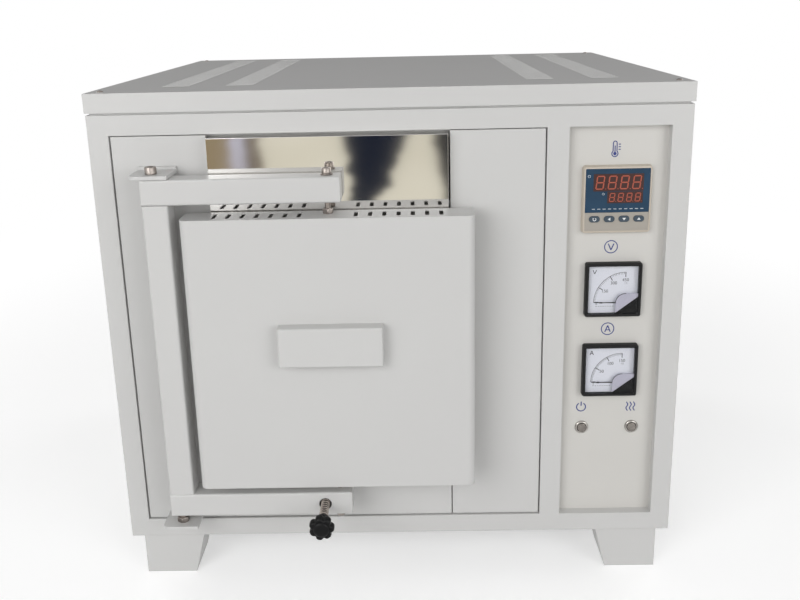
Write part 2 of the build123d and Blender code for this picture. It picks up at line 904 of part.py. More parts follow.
def square_tube(x0, x1, y0, y1, z0, z1, along):
    """Adds a closed square tube with rounded long edges."""
    block(x0, x1, y0, y1, z0, z1)
    fillet(edges().filter_by(along), tube_radius)
    w = tube_wall
    block(x0 + w, x1 - w, y0 + w, y1 - w, z0 + w, z1 - w, Mode.SUBTRACT)


def build_arm_top_bar():
    """Upper tube of the arm, drilled for the hinge screw and the door pivot."""
    y0 = front - arm_front
    z0 = arm_high - tube
    with BuildPart() as arm_top_bar:
        square_tube(arm_left, arm_right, y0, y0 + tube, z0, arm_high, Axis.X)
        rod_z(hinge_x, pivot_y, arm_high - tube_wall, arm_high,
              hinge_screw_radius + running_gap, Mode.SUBTRACT)
        rod_z(bay_x, pivot_y, z0, arm_high, pivot_screw_radius + running_gap,
              Mode.SUBTRACT)
    return arm_top_bar.part


def build_arm_upright():
    """Upright tube of the arm, welded between the two bars."""
    y0 = front - arm_front
    with BuildPart() as arm_upright:
        square_tube(arm_left, arm_left + tube, y0, y0 + tube, arm_low + tube,
                    arm_high - tube, Axis.Z)
    return arm_upright.part


def build_arm_bottom_bar():
    """Lower tube of the arm, drilled for hinge, pivot and latch."""
    y0 = front - arm_front
    with BuildPart() as arm_bottom_bar:
        square_tube(arm_left, arm_right, y0, y0 + tube, arm_low, arm_low + tube, Axis.X)
        rod_z(hinge_x, pivot_y, arm_low, arm_low + tube_wall,
              hinge_screw_radius + running_gap, Mode.SUBTRACT)
        rod_z(bay_x, pivot_y, arm_low, arm_low + tube, pivot_screw_radius + running_gap,
              Mode.SUBTRACT)
        rod_y(latch_x, latch_z, y0, y0 + tube_wall, latch_hole_radius, Mode.SUBTRACT)
        rod_y(latch_x, latch_z, y0 + tube - tube_wall, y0 + tube,
              latch_rod_radius + running_gap, Mode.SUBTRACT)
    return arm_bottom_bar.part


# Door

def build_door_shell():
    """Folded door tray with round upright edges and vent slots in top and bottom."""
    with BuildPart() as door_shell:
        block(bay_x - door_width / 2, bay_x + door_width / 2, door_face, door_back,
              door_low, door_high)
        upright = door_shell.edges().filter_by(Axis.Z).group_by(Axis.Y)[0]
        fillet(upright, door_bend)
        t = door_sheet
        with BuildSketch(Plane.XY.offset(door_low + t)):
            with Locations((bay_x, (door_face + door_back + t) / 2)):
                Rectangle(door_width - 2 * t, door_depth - t)
            fillet(vertices().group_by(Axis.Y)[0], door_bend - t)
        extrude(amount=door_height - 2 * t, mode=Mode.SUBTRACT)
        with BuildSketch(Plane.XY.offset(door_low)):
            for side in (-1, 1):
                with Locations((bay_x + side * door_slot_offset, (door_face + door_back) / 2)):
                    with GridLocations(door_slot_pitch, 1, door_slot_count, 1):
                        SlotOverall(door_slot_length, door_slot_width, rotation=90)
        extrude(amount=door_height, mode=Mode.SUBTRACT)
        rod_z(bay_x, pivot_y, door_low, door_high, pivot_screw_radius + running_gap,
              Mode.SUBTRACT)
    return door_shell.part


def build_door_back_plate():
    """Flat plate that closes the door's rear round the plug."""
    t = door_sheet + door_fit
    x = plug_half + plug_plate_gap
    z = plug_rise + plug_plate_gap
    y0 = door_back - door_plate
    with BuildPart() as door_back_plate:
        block(bay_x - door_half + t, bay_x + door_half - t, y0, door_back,
              door_low + t, door_high - t)
        block(bay_x - x, bay_x + x, y0, door_back, door_z - z, door_z + z, Mode.SUBTRACT)
    return door_back_plate.part


def build_door_plug():
    """Two fibre blocks: the door's filling and a drafted plug that enters the mouth."""
    seat = door_back - door_plate
    tip = front - mouth_proud + plug_entry
    x = door_half - filling_margin
    z = door_height / 2 - filling_margin
    with BuildPart() as filling:
        block(bay_x - x, bay_x + x, door_face + door_sheet, seat, door_z - z, door_z + z)
    with BuildPart() as plug:
        for y, draft in ((seat, 0.0), (tip, plug_draft)):
            with BuildSketch(Plane(origin=(bay_x, y, door_z), x_dir=(1, 0, 0),
                                   z_dir=(0, 1, 0))):
                Rectangle(2 * (plug_half - draft), 2 * (plug_rise - draft))
        loft()
    return Compound(children=[*filling.part.solids(), *plug.part.solids()])


def build_door_handle():
    """Folded pull handle, open below for the fingers."""
    z0 = door_z - handle_drop
    z1 = z0 + handle_height
    half = handle_width / 2
    y0 = door_face - handle_depth
    t = handle_sheet
    with BuildPart() as door_handle:
        block(bay_x - half, bay_x + half, y0, door_face, z0, z1)
        outside = door_handle.faces().sort_by(Axis.Y)[0].edges()
        fillet(outside.sort_by(Axis.Z)[1:], handle_bend)
        block(bay_x - half + t, bay_x + half - t, y0 + t, door_face, z0, z1 - t,
              Mode.SUBTRACT)
    return door_handle.part


def build_door_pivot_screws():
    """Two cap screws with washers on which the door turns in the arm."""
    washer_low = arm_high + pivot_play
    head_low = washer_low + pivot_washer_height
    head_top = head_low + pivot_head_height
    washer_top = arm_low - pivot_play
    head_high = washer_top - pivot_washer_height
    with BuildPart() as door_pivot_screws:
        rod_z(bay_x, pivot_y, washer_low, head_low, pivot_washer_radius)
        rod_z(bay_x, pivot_y, head_low, head_top, pivot_head_radius)
        hex_cut(bay_x, pivot_y, head_top, pivot_socket)
        rod_z(bay_x, pivot_y, door_high - pivot_thread_in_door, washer_low,
              pivot_screw_radius)
        rod_z(bay_x, pivot_y, head_high, washer_top, pivot_washer_radius)
        rod_z(bay_x, pivot_y, head_high - pivot_head_height, head_high, pivot_head_radius)
        rod_z(bay_x, pivot_y, washer_top, door_low + pivot_thread_in_door,
              pivot_screw_radius)
    return door_pivot_screws.part


def build_door_pivot_nuts():
    """Two nuts that lock the pivot screws to the door."""
    with BuildPart() as door_pivot_nuts:
        for z in (door_high, door_low - pivot_nut_height):
            hex_z(bay_x, pivot_y, z, z + pivot_nut_height, pivot_nut_flats)
            rod_z(bay_x, pivot_y, z, z + pivot_nut_height, pivot_screw_radius + thread_gap,
                  Mode.SUBTRACT)
    return door_pivot_nuts.part


# Latch

def build_latch_rod():
    """Sprung latch screw, drawn back behind the bar's rear wall."""
    tip = front - latch_tip
    head = front - knob_back - knob_hub_length - latch_thread_in_knob
    with BuildPart() as latch_rod:
        rod_y(latch_x, latch_z, head, tip, latch_rod_radius)
        chamfer(latch_rod.faces().sort_by(Axis.Y)[-1].edges(), latch_rod_chamfer)
    return latch_rod.part


def build_latch_knob():
    """Lobed hand knob with a hub."""
    hub_start = front - knob_back
    lobes_start = hub_start - knob_hub_length
    with BuildPart() as latch_knob:
        rod_y(latch_x, latch_z, lobes_start, hub_start, knob_hub_radius)
        with BuildSketch(Plane(origin=(latch_x, lobes_start, latch_z), x_dir=(1, 0, 0),
                               z_dir=(0, -1, 0))):
            Circle(knob_radius - knob_core_step)
            with PolarLocations(knob_radius - knob_lobe_radius, knob_lobes):
                Circle(knob_lobe_radius)
        extrude(amount=knob_thickness)
        fillet(latch_knob.faces().sort_by(Axis.Y)[0].edges(), knob_round)
        dome = lobes_start - knob_thickness + knob_dome_sink
        with Locations(Location((latch_x, dome, latch_z), (90, 0, 0))):
            Cone(knob_dome_low, knob_dome_high, knob_dome_height,
                 align=(Align.CENTER, Align.CENTER, Align.MIN))
        rod_y(latch_x, latch_z, lobes_start - latch_thread_in_knob, hub_start,
              latch_rod_radius + thread_gap, Mode.SUBTRACT)
    return latch_knob.part


def build_latch_spring():
    """Coil spring between the bar's rear wall and the washer."""
    start = front - arm_front + tube - tube_wall - spring_wire - spring_gap
    end = front - knob_back + washer_thickness + spring_wire + spring_gap
    length = start - end
    base = Plane(origin=(latch_x, start, latch_z), x_dir=(1, 0, 0), z_dir=(0, -1, 0))
    path = base.location * Helix(pitch=length / spring_turns, height=length,
                                 radius=spring_radius - spring_wire)
    with BuildPart() as latch_spring:
        with BuildSketch(Plane(origin=path @ 0, z_dir=path % 0)):
            RegularPolygon(spring_wire, spring_sides)
        sweep(path=path, is_frenet=True)
    return latch_spring.part


def build_latch_washer():
    """Loose washer between the spring and the knob's hub."""
    y0 = front - knob_back + washer_gap
    y1 = front - knob_back + washer_thickness
    with BuildPart() as latch_washer:
        rod_y(latch_x, latch_z, y0, y1, washer_radius)
        rod_y(latch_x, latch_z, y0, y1, latch_rod_radius + running_gap, Mode.SUBTRACT)
    return latch_washer.part


def build_latch_nut():
    """Nut behind the lower panel that takes the latch screw."""
    y0 = front + bay_recess + sheet
    y1 = y0 + latch_nut_flange
    with BuildPart() as latch_nut:
        rod_y(latch_x, latch_z, y0, y1, latch_nut_flange_radius)
        with BuildSketch(Plane(origin=(latch_x, y1, latch_z), x_dir=(1, 0, 0),
                               z_dir=(0, 1, 0))):
            RegularPolygon(latch_nut_size, 6)
        extrude(amount=latch_nut_height)
        rod_y(latch_x, latch_z, y0, y1 + latch_nut_height, latch_rod_radius + running_gap,
              Mode.SUBTRACT)
    return latch_nut.part


# Furnace

def build_furnace_case():
    """Steel box round the lining, open at the mouth and drilled for the rods."""
    top = door_z + case_rise
    with BuildPart() as furnace_case:
        block(bay_x - case_half, bay_x + case_half, lip_plane, case_rear,
              door_z - case_rise, top)
        block(bay_x - inner_half, bay_x + inner_half, lip_plane + case_sheet,
              case_rear - case_sheet, door_z - inner_rise, door_z + inner_rise,
              Mode.SUBTRACT)
        mouth_hole(lip_plane, lip_plane + case_sheet)
        for x, y in rod_places:
            rod_z(x, y, top - case_sheet, top, rod_radius + rod_case_gap, Mode.SUBTRACT)
        rod_y(bay_x, probe_z, case_rear - case_sheet, case_rear, probe_radius + fit_gap,
              Mode.SUBTRACT)
    return furnace_case.part


def build_furnace_stand():
    """Welded stand that carries the furnace case on the base tray."""
    bar = stand_bar
    top = door_z - case_rise
    x0 = bay_x - case_half
    x1 = bay_x + case_half
    y0 = lip_plane + stand_front_gap
    y1 = case_rear - stand_rear_gap
    with BuildPart() as furnace_stand:
        block(x0, x1, y0, y1, top - bar, top)
        block(x0 + bar, x1 - bar, y0 + bar, y1 - bar, top - bar, top, Mode.SUBTRACT)
        for x in (x0, x1 - bar):
            for y in (y0, y1 - bar):
                block(x, x + bar, y, y + bar, tray_top, top - bar)
    return furnace_stand.part


def build_lining_boards():
    """Fibre boards: floor, roof, two sides and back."""
    floor = door_z - chamber_rise
    roof = door_z + chamber_rise
    low = door_z - inner_rise
    high = door_z + inner_rise
    x0 = bay_x - inner_half
    x1 = bay_x + inner_half
    with BuildPart() as floor_and_roof:
        block(x0, x1, ring_rear, chamber_rear, low, floor)
        block(x0, x1, ring_rear, chamber_rear, roof, high)
        for x, y in rod_places:
            rod_z(x, y, floor - rod_socket, floor, rod_radius + rod_gap, Mode.SUBTRACT)
            rod_z(x, y, roof, high, rod_radius + rod_gap, Mode.SUBTRACT)
    with BuildPart() as sides:
        block(x0, bay_x - chamber_half, ring_rear, chamber_rear, floor, roof)
        block(bay_x + chamber_half, x1, ring_rear, chamber_rear, floor, roof)
    with BuildPart() as back:
        block(x0, x1, chamber_rear, chamber_rear + back_board, low, high)
        rod_y(bay_x, probe_z, chamber_rear, chamber_rear + back_board,
              probe_radius + fit_gap, Mode.SUBTRACT)
    boards = [*floor_and_roof.part.solids(), *sides.part.solids(), *back.part.solids()]
    return Compound(children=boards)


def build_mouth_ring():
    """Ceramic ring that lines the furnace mouth, held behind the case front."""
    face = front - mouth_proud
    plate_rear = lip_plane + case_sheet
    with BuildPart() as mouth_ring:
        block(bay_x - mouth_half, bay_x + mouth_half, face, plate_rear,
              door_z - mouth_rise, door_z + mouth_rise)
        block(bay_x - inner_half, bay_x + inner_half, plate_rear, ring_rear,
              door_z - inner_rise, door_z + inner_rise)
        block(bay_x - chamber_half, bay_x + chamber_half, face, ring_rear,
              door_z - chamber_rise, door_z + chamber_rise, Mode.SUBTRACT)
        chamfer(mouth_ring.faces().sort_by(Axis.Y)[0].inner_wires().edges(), mouth_chamfer)
    return mouth_ring.part


def build_hearth_plate():
    """Hearth slab on the chamber floor, between the rods."""
    half = chamber_half - rod_inset - rod_radius - hearth_side_gap
    floor = door_z - chamber_rise
    with BuildPart() as hearth_plate:
        block(bay_x - half, bay_x + half, ring_rear + hearth_end_gap,
              chamber_rear - hearth_end_gap, floor, floor + hearth_thickness)
        chamfer(hearth_plate.edges().filter_by(Axis.Y).group_by(Axis.Z)[-1], hearth_chamfer)
    return hearth_plate.part


def build_heating_elements():
    """Six upright rods along the side walls, each with a terminal clamp."""
    low = door_z - chamber_rise - rod_socket
    case_top = door_z + case_rise
    clamp = case_top + clamp_low
    with BuildPart() as heating_elements:
        for x, y in rod_places:
            rod_z(x, y, low, case_top + rod_stub, rod_radius)
            rod_z(x, y, clamp, clamp + clamp_height, rod_radius + clamp_thickness)
    return heating_elements.part


def build_thermocouple():
    """Ceramic sheathed probe through the back board, with its head outside."""
    neck = case_rear + probe_neck_length
    with BuildPart() as thermocouple:
        rod_y(bay_x, probe_z, chamber_rear - probe_reach, case_rear, probe_radius)
        rod_y(bay_x, probe_z, case_rear, neck, probe_neck_radius)
        rod_y(bay_x, probe_z, neck, neck + probe_head_length, probe_head_radius)
    return thermocouple.part


# Electrical parts in the control bay

def build_transformer():
    """Supply transformer: a laminated core with three coils on angle feet."""
    x = control_x
    y = front + body_depth * transformer_depth_share
    low = tray_top
    half = core_width / 2
    stack = core_stack / 2
    limb = core_width / 3
    window = low + core_window_rise
    with BuildPart() as transformer:
        block(x - half, x + half, y - stack, y + stack, low + core_rise,
              low + core_rise + core_height)
        for side in (-1, 1):
            middle = x + side * limb / 2
            block(middle - core_window_width / 2, middle + core_window_width / 2,
                  y - stack, y + stack, window, window + core_window_height, Mode.SUBTRACT)
            face = y + side * stack
            block(x - half, x + half, face - angle_sheet, face + angle_sheet,
                  low, low + angle_leg)
            block(x - half, x + half, face, face + side * angle_leg, low, low + angle_sheet)
        for side in (-1, 0, 1):
            middle = x + side * limb
            block(middle - coil_width / 2, middle + coil_width / 2, y - coil_depth / 2,
                  y + coil_depth / 2, window + coil_inset,
                  window + core_window_height - coil_inset)
    return transformer.part


def build_thyristor_module():
    """Power module on its finned heat sink, standing on the base tray."""
    x = control_x
    y = front + body_depth * thyristor_depth_share
    half = sink_width / 2
    with BuildPart() as thyristor_module:
        block(x - half, x + half, y, y + sink_plate, tray_top, tray_top + sink_height)
        for fin in range(fin_count):
            middle = x + (fin - (fin_count - 1) / 2) * fin_pitch
            block(middle - fin_sheet / 2, middle + fin_sheet / 2, y + sink_plate,
                  y + sink_plate + fin_reach, tray_top, tray_top + sink_height)
        low = tray_top + module_rise
        block(x - module_width / 2, x + module_width / 2, y - module_depth, y, low,
              low + module_height)
    return thyristor_module.part


def build_contactor():
    """Power contactor on a rail on the divider."""
    x0 = divider_x + sheet
    x1 = x0 + contactor_reach
    y = front + body_depth * contactor_depth_share
    z = body_low + body_height * contactor_height_share
    half = contactor_width / 2
    rise = contactor_height / 2
    step = x1 - contactor_step_depth
    with BuildPart() as contactor:
        block(x0, x0 + rail_height, y - rail_length / 2, y + rail_length / 2,
              z - rail_width / 2, z + rail_width / 2)
        block(x0 + rail_height, x1, y - half, y + half, z - rise, z + rise)
        for side in (-1, 1):
            edge = z + side * rise
            block(step, x1, y - half, y + half, edge - side * contactor_step, edge,
                  Mode.SUBTRACT)
            for pole in (-1, 0, 1):
                place = (step, y + pole * contactor_pole_pitch,
                         edge - side * contactor_step / 2)
                with Locations(Location(place, (0, 90, 0))):
                    Cylinder(contactor_screw_radius, contactor_screw_height,
                             align=(Align.CENTER, Align.CENTER, Align.MIN))
    return contactor.part


def build_terminal_block():
    """Mains terminal block on the base tray, near the cable gland."""
    y = rear - terminal_rear_gap
    half = terminal_length / 2
    depth = terminal_depth / 2
    top = tray_top + terminal_height
    low = top - terminal_step
    cell = terminal_cell
    with BuildPart() as terminal_block:
        block(gland_x - half, gland_x + half, y - depth, y + depth, tray_top, top)
        for pole in range(terminal_poles):
            x = gland_x + (pole - (terminal_poles - 1) / 2) * terminal_pitch
            block(x - cell, x + cell, y - cell, y + cell, low, top, Mode.SUBTRACT)
            rod_z(x, y, low, low + terminal_screw_height, terminal_screw_radius)
    return terminal_block.part


def build_cable_gland():
    """Cable gland in the rear panel: body, lock nut and clamping cap."""
    inside = rear - sheet
    end = rear + gland_reach
    with BuildPart() as cable_gland:
        rod_y(gland_x, gland_z, inside - gland_tail, rear, gland_thread)
        for start, amount in ((inside, -gland_nut), (rear, gland_flange)):
            with BuildSketch(Plane(origin=(gland_x, start, gland_z), x_dir=(1, 0, 0),
                                   z_dir=(0, 1, 0))):
                RegularPolygon(gland_flats_radius, 6)
            extrude(amount=amount)
        rod_y(gland_x, gland_z, rear + gland_flange, end, gland_cap_radius)
        chamfer(cable_gland.faces().sort_by(Axis.Y)[-1].edges(), gland_chamfer)
        rod_y(gland_x, gland_z, inside - gland_tail, end, gland_bore, Mode.SUBTRACT)
    return cable_gland.part


# Building and writing every piece

os.makedirs("parts", exist_ok=True)
save(build_base_tray(), "base_tray")
save(build_feet(), "feet")
save(build_front_frame(), "front_frame")
save(build_side_panel(-1), "left_side_panel")
save(build_side_panel(1), "right_side_panel")
save(build_rear_panel(), "rear_panel")
save(build_top_cover(), "top_cover")
save(build_cover_screws(), "cover_screws")
save(build_divider_panel(), "divider_panel")
save(build_bay_side_panel(-1), "bay_left_panel")
save(build_bay_side_panel(1), "bay_right_panel")
save(build_bay_lower_panel(), "bay_lower_panel")
save(build_mouth_plate(), "mouth_plate")
save(build_control_panel(), "control_panel")
save(build_controller_body(), "controller_body")
save(build_controller_bezel(), "controller_bezel")
save(build_controller_display(), "controller_display")
for index, key_name in enumerate(("set_key", "shift_key", "down_key", "up_key")):
    save(build_key(index), key_name)
for meter_name, meter_z in zip(("voltmeter", "ammeter"), meter_heights):
    save(build_meter_case(meter_z), meter_name + "_case")
    save(build_needle(meter_z), meter_name + "_needle")
save(build_meter_dials(), "meter_dials")
save(build_meter_lenses(), "meter_lenses")
for side, button_name in ((-1, "power_button"), (1, "heating_button")):
    save(build_button_body(side), button_name + "_body")
    save(build_button_cap(side), button_name + "_cap")
save(build_hinge_plate(upper_plate_face), "upper_hinge_plate")
save(build_hinge_plate(lower_plate_face), "lower_hinge_plate")
save(build_hinge_screws(), "hinge_screws")
save(build_arm_top_bar(), "arm_top_bar")
save(build_arm_upright(), "arm_upright")
save(build_arm_bottom_bar(), "arm_bottom_bar")
save(build_door_shell(), "door_shell")
save(build_door_back_plate(), "door_back_plate")
save(build_door_plug(), "door_plug")
save(build_door_handle(), "door_handle")
save(build_door_pivot_screws(), "door_pivot_screws")
save(build_door_pivot_nuts(), "door_pivot_nuts")
save(build_latch_rod(), "latch_rod")
save(build_latch_knob(), "latch_knob")
save(build_latch_spring(), "latch_spring")
save(build_latch_washer(), "latch_washer")
save(build_latch_nut(), "latch_nut")
save(build_furnace_case(), "furnace_case")
save(build_furnace_stand(), "furnace_stand")
save(build_lining_boards(), "lining_boards")
save(build_mouth_ring(), "mouth_ring")
save(build_hearth_plate(), "hearth_plate")
save(build_heating_elements(), "heating_elements")
save(build_thermocouple(), "thermocouple")
save(build_transformer(), "transformer")
save(build_thyristor_module(), "thyristor_module")
save(build_contactor(), "contactor")
save(build_terminal_block(), "terminal_block")
save(build_cable_gland(), "cable_gland")
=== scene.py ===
import math

import bmesh
import bpy
import numpy as np
from mathutils import Matrix, Vector


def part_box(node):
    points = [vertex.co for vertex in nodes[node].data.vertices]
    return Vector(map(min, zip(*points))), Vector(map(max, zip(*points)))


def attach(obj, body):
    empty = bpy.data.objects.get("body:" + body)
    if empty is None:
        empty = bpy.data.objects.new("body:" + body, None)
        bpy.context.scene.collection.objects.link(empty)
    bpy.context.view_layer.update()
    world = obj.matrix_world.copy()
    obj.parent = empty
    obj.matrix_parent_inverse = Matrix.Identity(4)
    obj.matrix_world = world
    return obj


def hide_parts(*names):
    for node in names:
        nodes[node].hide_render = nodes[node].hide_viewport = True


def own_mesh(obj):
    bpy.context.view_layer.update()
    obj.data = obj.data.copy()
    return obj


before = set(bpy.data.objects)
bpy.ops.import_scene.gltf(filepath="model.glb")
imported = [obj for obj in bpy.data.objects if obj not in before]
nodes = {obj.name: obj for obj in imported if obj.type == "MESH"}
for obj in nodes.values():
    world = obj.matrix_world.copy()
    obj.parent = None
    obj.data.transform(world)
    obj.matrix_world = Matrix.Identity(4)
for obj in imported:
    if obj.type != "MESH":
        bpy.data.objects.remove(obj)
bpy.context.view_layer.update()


# Cabinet sheets: front frame, side and rear panels, floor tray, feet, lid and the three painted
# panels of the furnace bay. They are folded from 1.5 mm steel sheet, powder coated light grey
# with a faint orange peel, and screwed or spot welded behind their folds.

class Wire:
    """An output socket. Operators on it add Math nodes; make() adds any other node."""
    tree = None

    def __init__(self, socket):
        self.socket = socket

    @classmethod
    def make(cls, kind, settings=None, inputs=None, output=0):
        """Adds a node: its settings first, then the values or wires of its sockets."""
        node = cls.tree.nodes.new(kind)
        for name, value in (settings or {}).items():
            setattr(node, name, value)
        for name, value in (inputs or {}).items():
            if isinstance(value, Wire):
                cls.tree.links.new(value.socket, node.inputs[name])
            else:
                node.inputs[name].default_value = value
        return cls(node.outputs[output]) if node.outputs else None

    @staticmethod
    def maths(operation, first, second=0.0):
        """Adds one Math node on two values."""
        return Wire.make("ShaderNodeMath", {"operation": operation}, {0: first, 1: second})

    def __add__(self, other):
        return self.maths("ADD", self, other)

    __radd__ = __add__

    def __sub__(self, other):
        return self.maths("SUBTRACT", self, other)

    def __rsub__(self, other):
        return self.maths("SUBTRACT", other, self)

    def __mul__(self, other):
        return self.maths("MULTIPLY", self, other)

    __rmul__ = __mul__

    def __gt__(self, other):
        return self.maths("GREATER_THAN", self, other)

    def __lt__(self, other):
        return self.maths("LESS_THAN", self, other)

    def __abs__(self):
        return self.maths("ABSOLUTE", self)


def tint(code):
    """A screen colour such as "d0cfcd" as the linear colour that a shader takes."""
    screen = np.array([int(code[i:i + 2], 16) for i in (0, 2, 4)]) / 255
    linear = np.where(screen <= 0.04045, screen / 12.92, ((screen + 0.055) / 1.055) ** 2.4)
    return (*linear.tolist(), 1.0)


def start_finish(name):
    """Begins an empty material and points Wire at its nodes."""
    material = bpy.data.materials.new(name)
    material.use_nodes = True
    material.node_tree.nodes.clear()
    Wire.tree = material.node_tree
    return material


def end_finish(material, sockets):
    """Closes the material in hand with one Principled shader."""
    shader = Wire.make("ShaderNodeBsdfPrincipled", {}, sockets)
    Wire.make("ShaderNodeOutputMaterial", {}, {"Surface": shader})
    return material


def number_of(vector, axis):
    """One number of a vector: its X, Y or Z."""
    return Wire.make("ShaderNodeSeparateXYZ", {}, {"Vector": vector}, output=axis)


def place(axis=None):
    """The point on the object, in metres, or its number along one axis."""
    where = Wire.make("ShaderNodeTexCoord", output="Object")
    return number_of(where, axis) if axis else where


def noise(scale, detail=2.0, stretch=(1.0, 1.0, 1.0)):
    """Cloudy value from 0 to 1, with so many clouds a metre, stretched along the axes."""
    where = Wire.make("ShaderNodeMapping", {}, {"Vector": place(), "Scale": stretch})
    return Wire.make("ShaderNodeTexNoise", {}, {"Vector": where, "Scale": scale,
                                                "Detail": detail})


def blend(factor, first, second):
    """Mixes two colours."""
    return Wire.make("ShaderNodeMix", {"data_type": "RGBA"},
                     {"Factor": factor, "A": first, "B": second}, output=2)


def rounded(radius, height=None, depth=0.0):
    """Normal that rounds sharp edges, with an optional bump on top."""
    soft = Wire.make("ShaderNodeBevel", {"samples": 6}, {"Radius": radius})
    if height is None:
        return soft
    return Wire.make("ShaderNodeBump", {}, {"Height": height, "Distance": depth,
                                            "Normal": soft})


def slot_wall_highlight(sheet_name, margin):
    """One on upright faces well inside a sheet's outline: slot walls for a painted highlight."""
    low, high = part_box(sheet_name)
    facing = Wire.make("ShaderNodeNewGeometry", output="True Normal")
    mask = abs(number_of(facing, "Z")) < 0.5
    for axis, start, end in (("X", low.x, high.x), ("Y", low.y, high.y)):
        mask = mask * (place(axis) > start + margin) * (place(axis) < end - margin)
    return mask


def powder_coat(name, code, code_dull, edge=0.0012, gloss=0.36, highlit_slots_of=None):
    """Satin powder coat: two near tones in soft clouds, and a fine orange peel."""
    material = start_finish(name)
    clouds = noise(3.0, 3.0)
    peel = noise(420.0, 1.0)
    colour = blend(clouds, tint(code), tint(code_dull))
    # Slot walls of the named sheet turn near white: a painted highlight of their lit cut edges.
    if highlit_slots_of:
        colour = blend(slot_wall_highlight(highlit_slots_of, 0.035), colour, tint("fafaf8"))
    return end_finish(material, {"Base Color": colour, "Roughness": gloss + clouds * 0.06,
                                 "Normal": rounded(edge, peel, 0.00006)})


def coat(material, *names):
    """Gives CAD nodes this material in every slot."""
    for name in names:
        for slot in nodes[name].material_slots:
            slot.material = material


light_grey, dull_grey = "cfcfcd", "cac9c8"
grey_coat = powder_coat("grey powder coat", light_grey, dull_grey)
coat(grey_coat, "front_frame", "left_side_panel", "right_side_panel", "rear_panel",
     "base_tray", "feet", "bay_left_panel", "bay_right_panel", "bay_lower_panel")
# The lid's slot walls carry a near white painted highlight.
coat(powder_coat("lid powder coat", light_grey, dull_grey, edge=0.0003, highlit_slots_of="top_cover"),
     "top_cover")


# Cover screws: four pan head screws with a small round recess, zinc plated, that go through the
# lid into the stepped rim below it.

def outline_circle(radius, count):
    """Points of a circle: radius times cosine and sine of evenly spaced angles."""
    turn = np.linspace(0, 2 * np.pi, count, endpoint=False)
    return np.stack([radius * np.cos(turn), radius * np.sin(turn)], axis=-1)


def stand(outlines, heights, origin, across, up, out):
    """Carries outlines (rows, points, 2) to their heights on three axes from an origin."""
    across, up, out = (np.array(v, float) for v in (across, up, out))
    heights = np.asarray(heights, float)[:, None, None]
    flat = np.asarray(outlines)
    return (np.array(origin, float) + flat[..., :1] * across + flat[..., 1:] * up
            + heights * out)


def skin(points, ring=False):
    """Faces of a grid of points: rows joined to rows; flat ends, or a ring of rows."""
    rows, count = points.shape[:2]
    index = np.arange(rows * count).reshape(rows, count)
    if ring:
        index = np.concatenate([index, index[:1]])
    beside = np.roll(index, -1, axis=1)
    quads = np.stack([index[:-1], beside[:-1], beside[1:], index[1:]], axis=-1)
    faces = quads.reshape(-1, 4).tolist()
    if not ring:
        faces += [index[0].tolist()[::-1], index[-1].tolist()]
    return points.reshape(-1, 3), faces


def piece(name, solids, material, body, slot, *stands_for, sharp=35.0):
    """Joins solids into one mesh object that rides on a body and replaces CAD nodes."""
    places, faces, count = [], [], 0
    for points, its_faces in solids:
        places.append(points)
        faces += [[corner + count for corner in face] for face in its_faces]
        count += len(points)
    mesh = bpy.data.meshes.new(name)
    mesh.from_pydata(np.concatenate(places).tolist(), [], faces)
    shell = bmesh.new()
    shell.from_mesh(mesh)
    bmesh.ops.recalc_face_normals(shell, faces=shell.faces)
    shell.to_mesh(mesh)
    shell.free()
    mesh.shade_smooth()
    mesh.set_sharp_from_angle(angle=math.radians(sharp))
    mesh.materials.append(material)
    thing = bpy.data.objects.new(name, mesh)
    bpy.context.collection.objects.link(thing)
    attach(thing, body)
    if stands_for:
        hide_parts(*stands_for)
    return thing


RIGHT, BACK, UP = (1, 0, 0), (0, 1, 0), (0, 0, 1)


def turned(profile, origin, across, up, out, count=40):
    """Solid of revolution: each (radius, height) of the profile is one circle."""
    profile = np.array(profile, float)
    unit = outline_circle(1.0, count)
    return stand(profile[:, :1, None] * unit, profile[:, 1], origin, across, up, out)


def steel(name, code, roughness, edge=0.0003, brushed=0.0, stretch=(1.0, 1.0, 1.0)):
    """Bare or plated metal: a metallic tone whose sheen varies in fine streaks."""
    material = start_finish(name)
    streaks = noise(160.0, 3.0, stretch)
    return end_finish(material, {"Base Color": blend(streaks, tint(code), tint("5c5754")),
                                 "Metallic": 1.0, "Roughness": roughness + streaks * brushed,
                                 "Normal": rounded(edge)})


zinc_plate = steel("zinc plate", "b5aca5", 0.26, brushed=0.12)
cover_low, cover_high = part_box("cover_screws")
screw_head, screw_rise, screw_shank = 0.0045, 0.002, 0.0025
recess, recess_foot, recess_depth = 0.0018, 0.0014, 0.0012
screw_top = cover_high[2]
screw_seat = screw_top - screw_rise
profile = [(screw_shank, cover_low[2]), (screw_shank, screw_seat), (screw_head * 0.97, screw_seat)]
profile += [(screw_head * 0.99 * math.cos(a), screw_seat + screw_rise * math.sin(a))
            for a in np.linspace(0, np.pi / 2, 7)[:-1]]
profile += [(recess, screw_top), (recess_foot, screw_top - recess_depth)]
screws = [skin(turned(profile, (x, y, 0), RIGHT, BACK, UP, 24))
          for x in (cover_low[0] + screw_head, cover_high[0] - screw_head)
          for y in (cover_low[1] + screw_head, cover_high[1] - screw_head)]
piece("cover_screw_heads", screws, zinc_plate, "cabinet", "zinc_screw", "cover_screws")


# Furnace mouth: a mirror polished stainless tray stands proud of the bay round a ring of white
# fibre that lines the mouth. The ring is held by the steel case behind the panels.

mirror = start_finish("mirror stainless")
smears = noise(9.0, 4.0)
end_finish(mirror, {"Base Color": tint("e6e4e1"), "Metallic": 1.0,
                    "Roughness": 0.03 + smears * 0.06, "Normal": rounded(0.0008)})
coat(mirror, "mouth_plate", "door_back_plate")


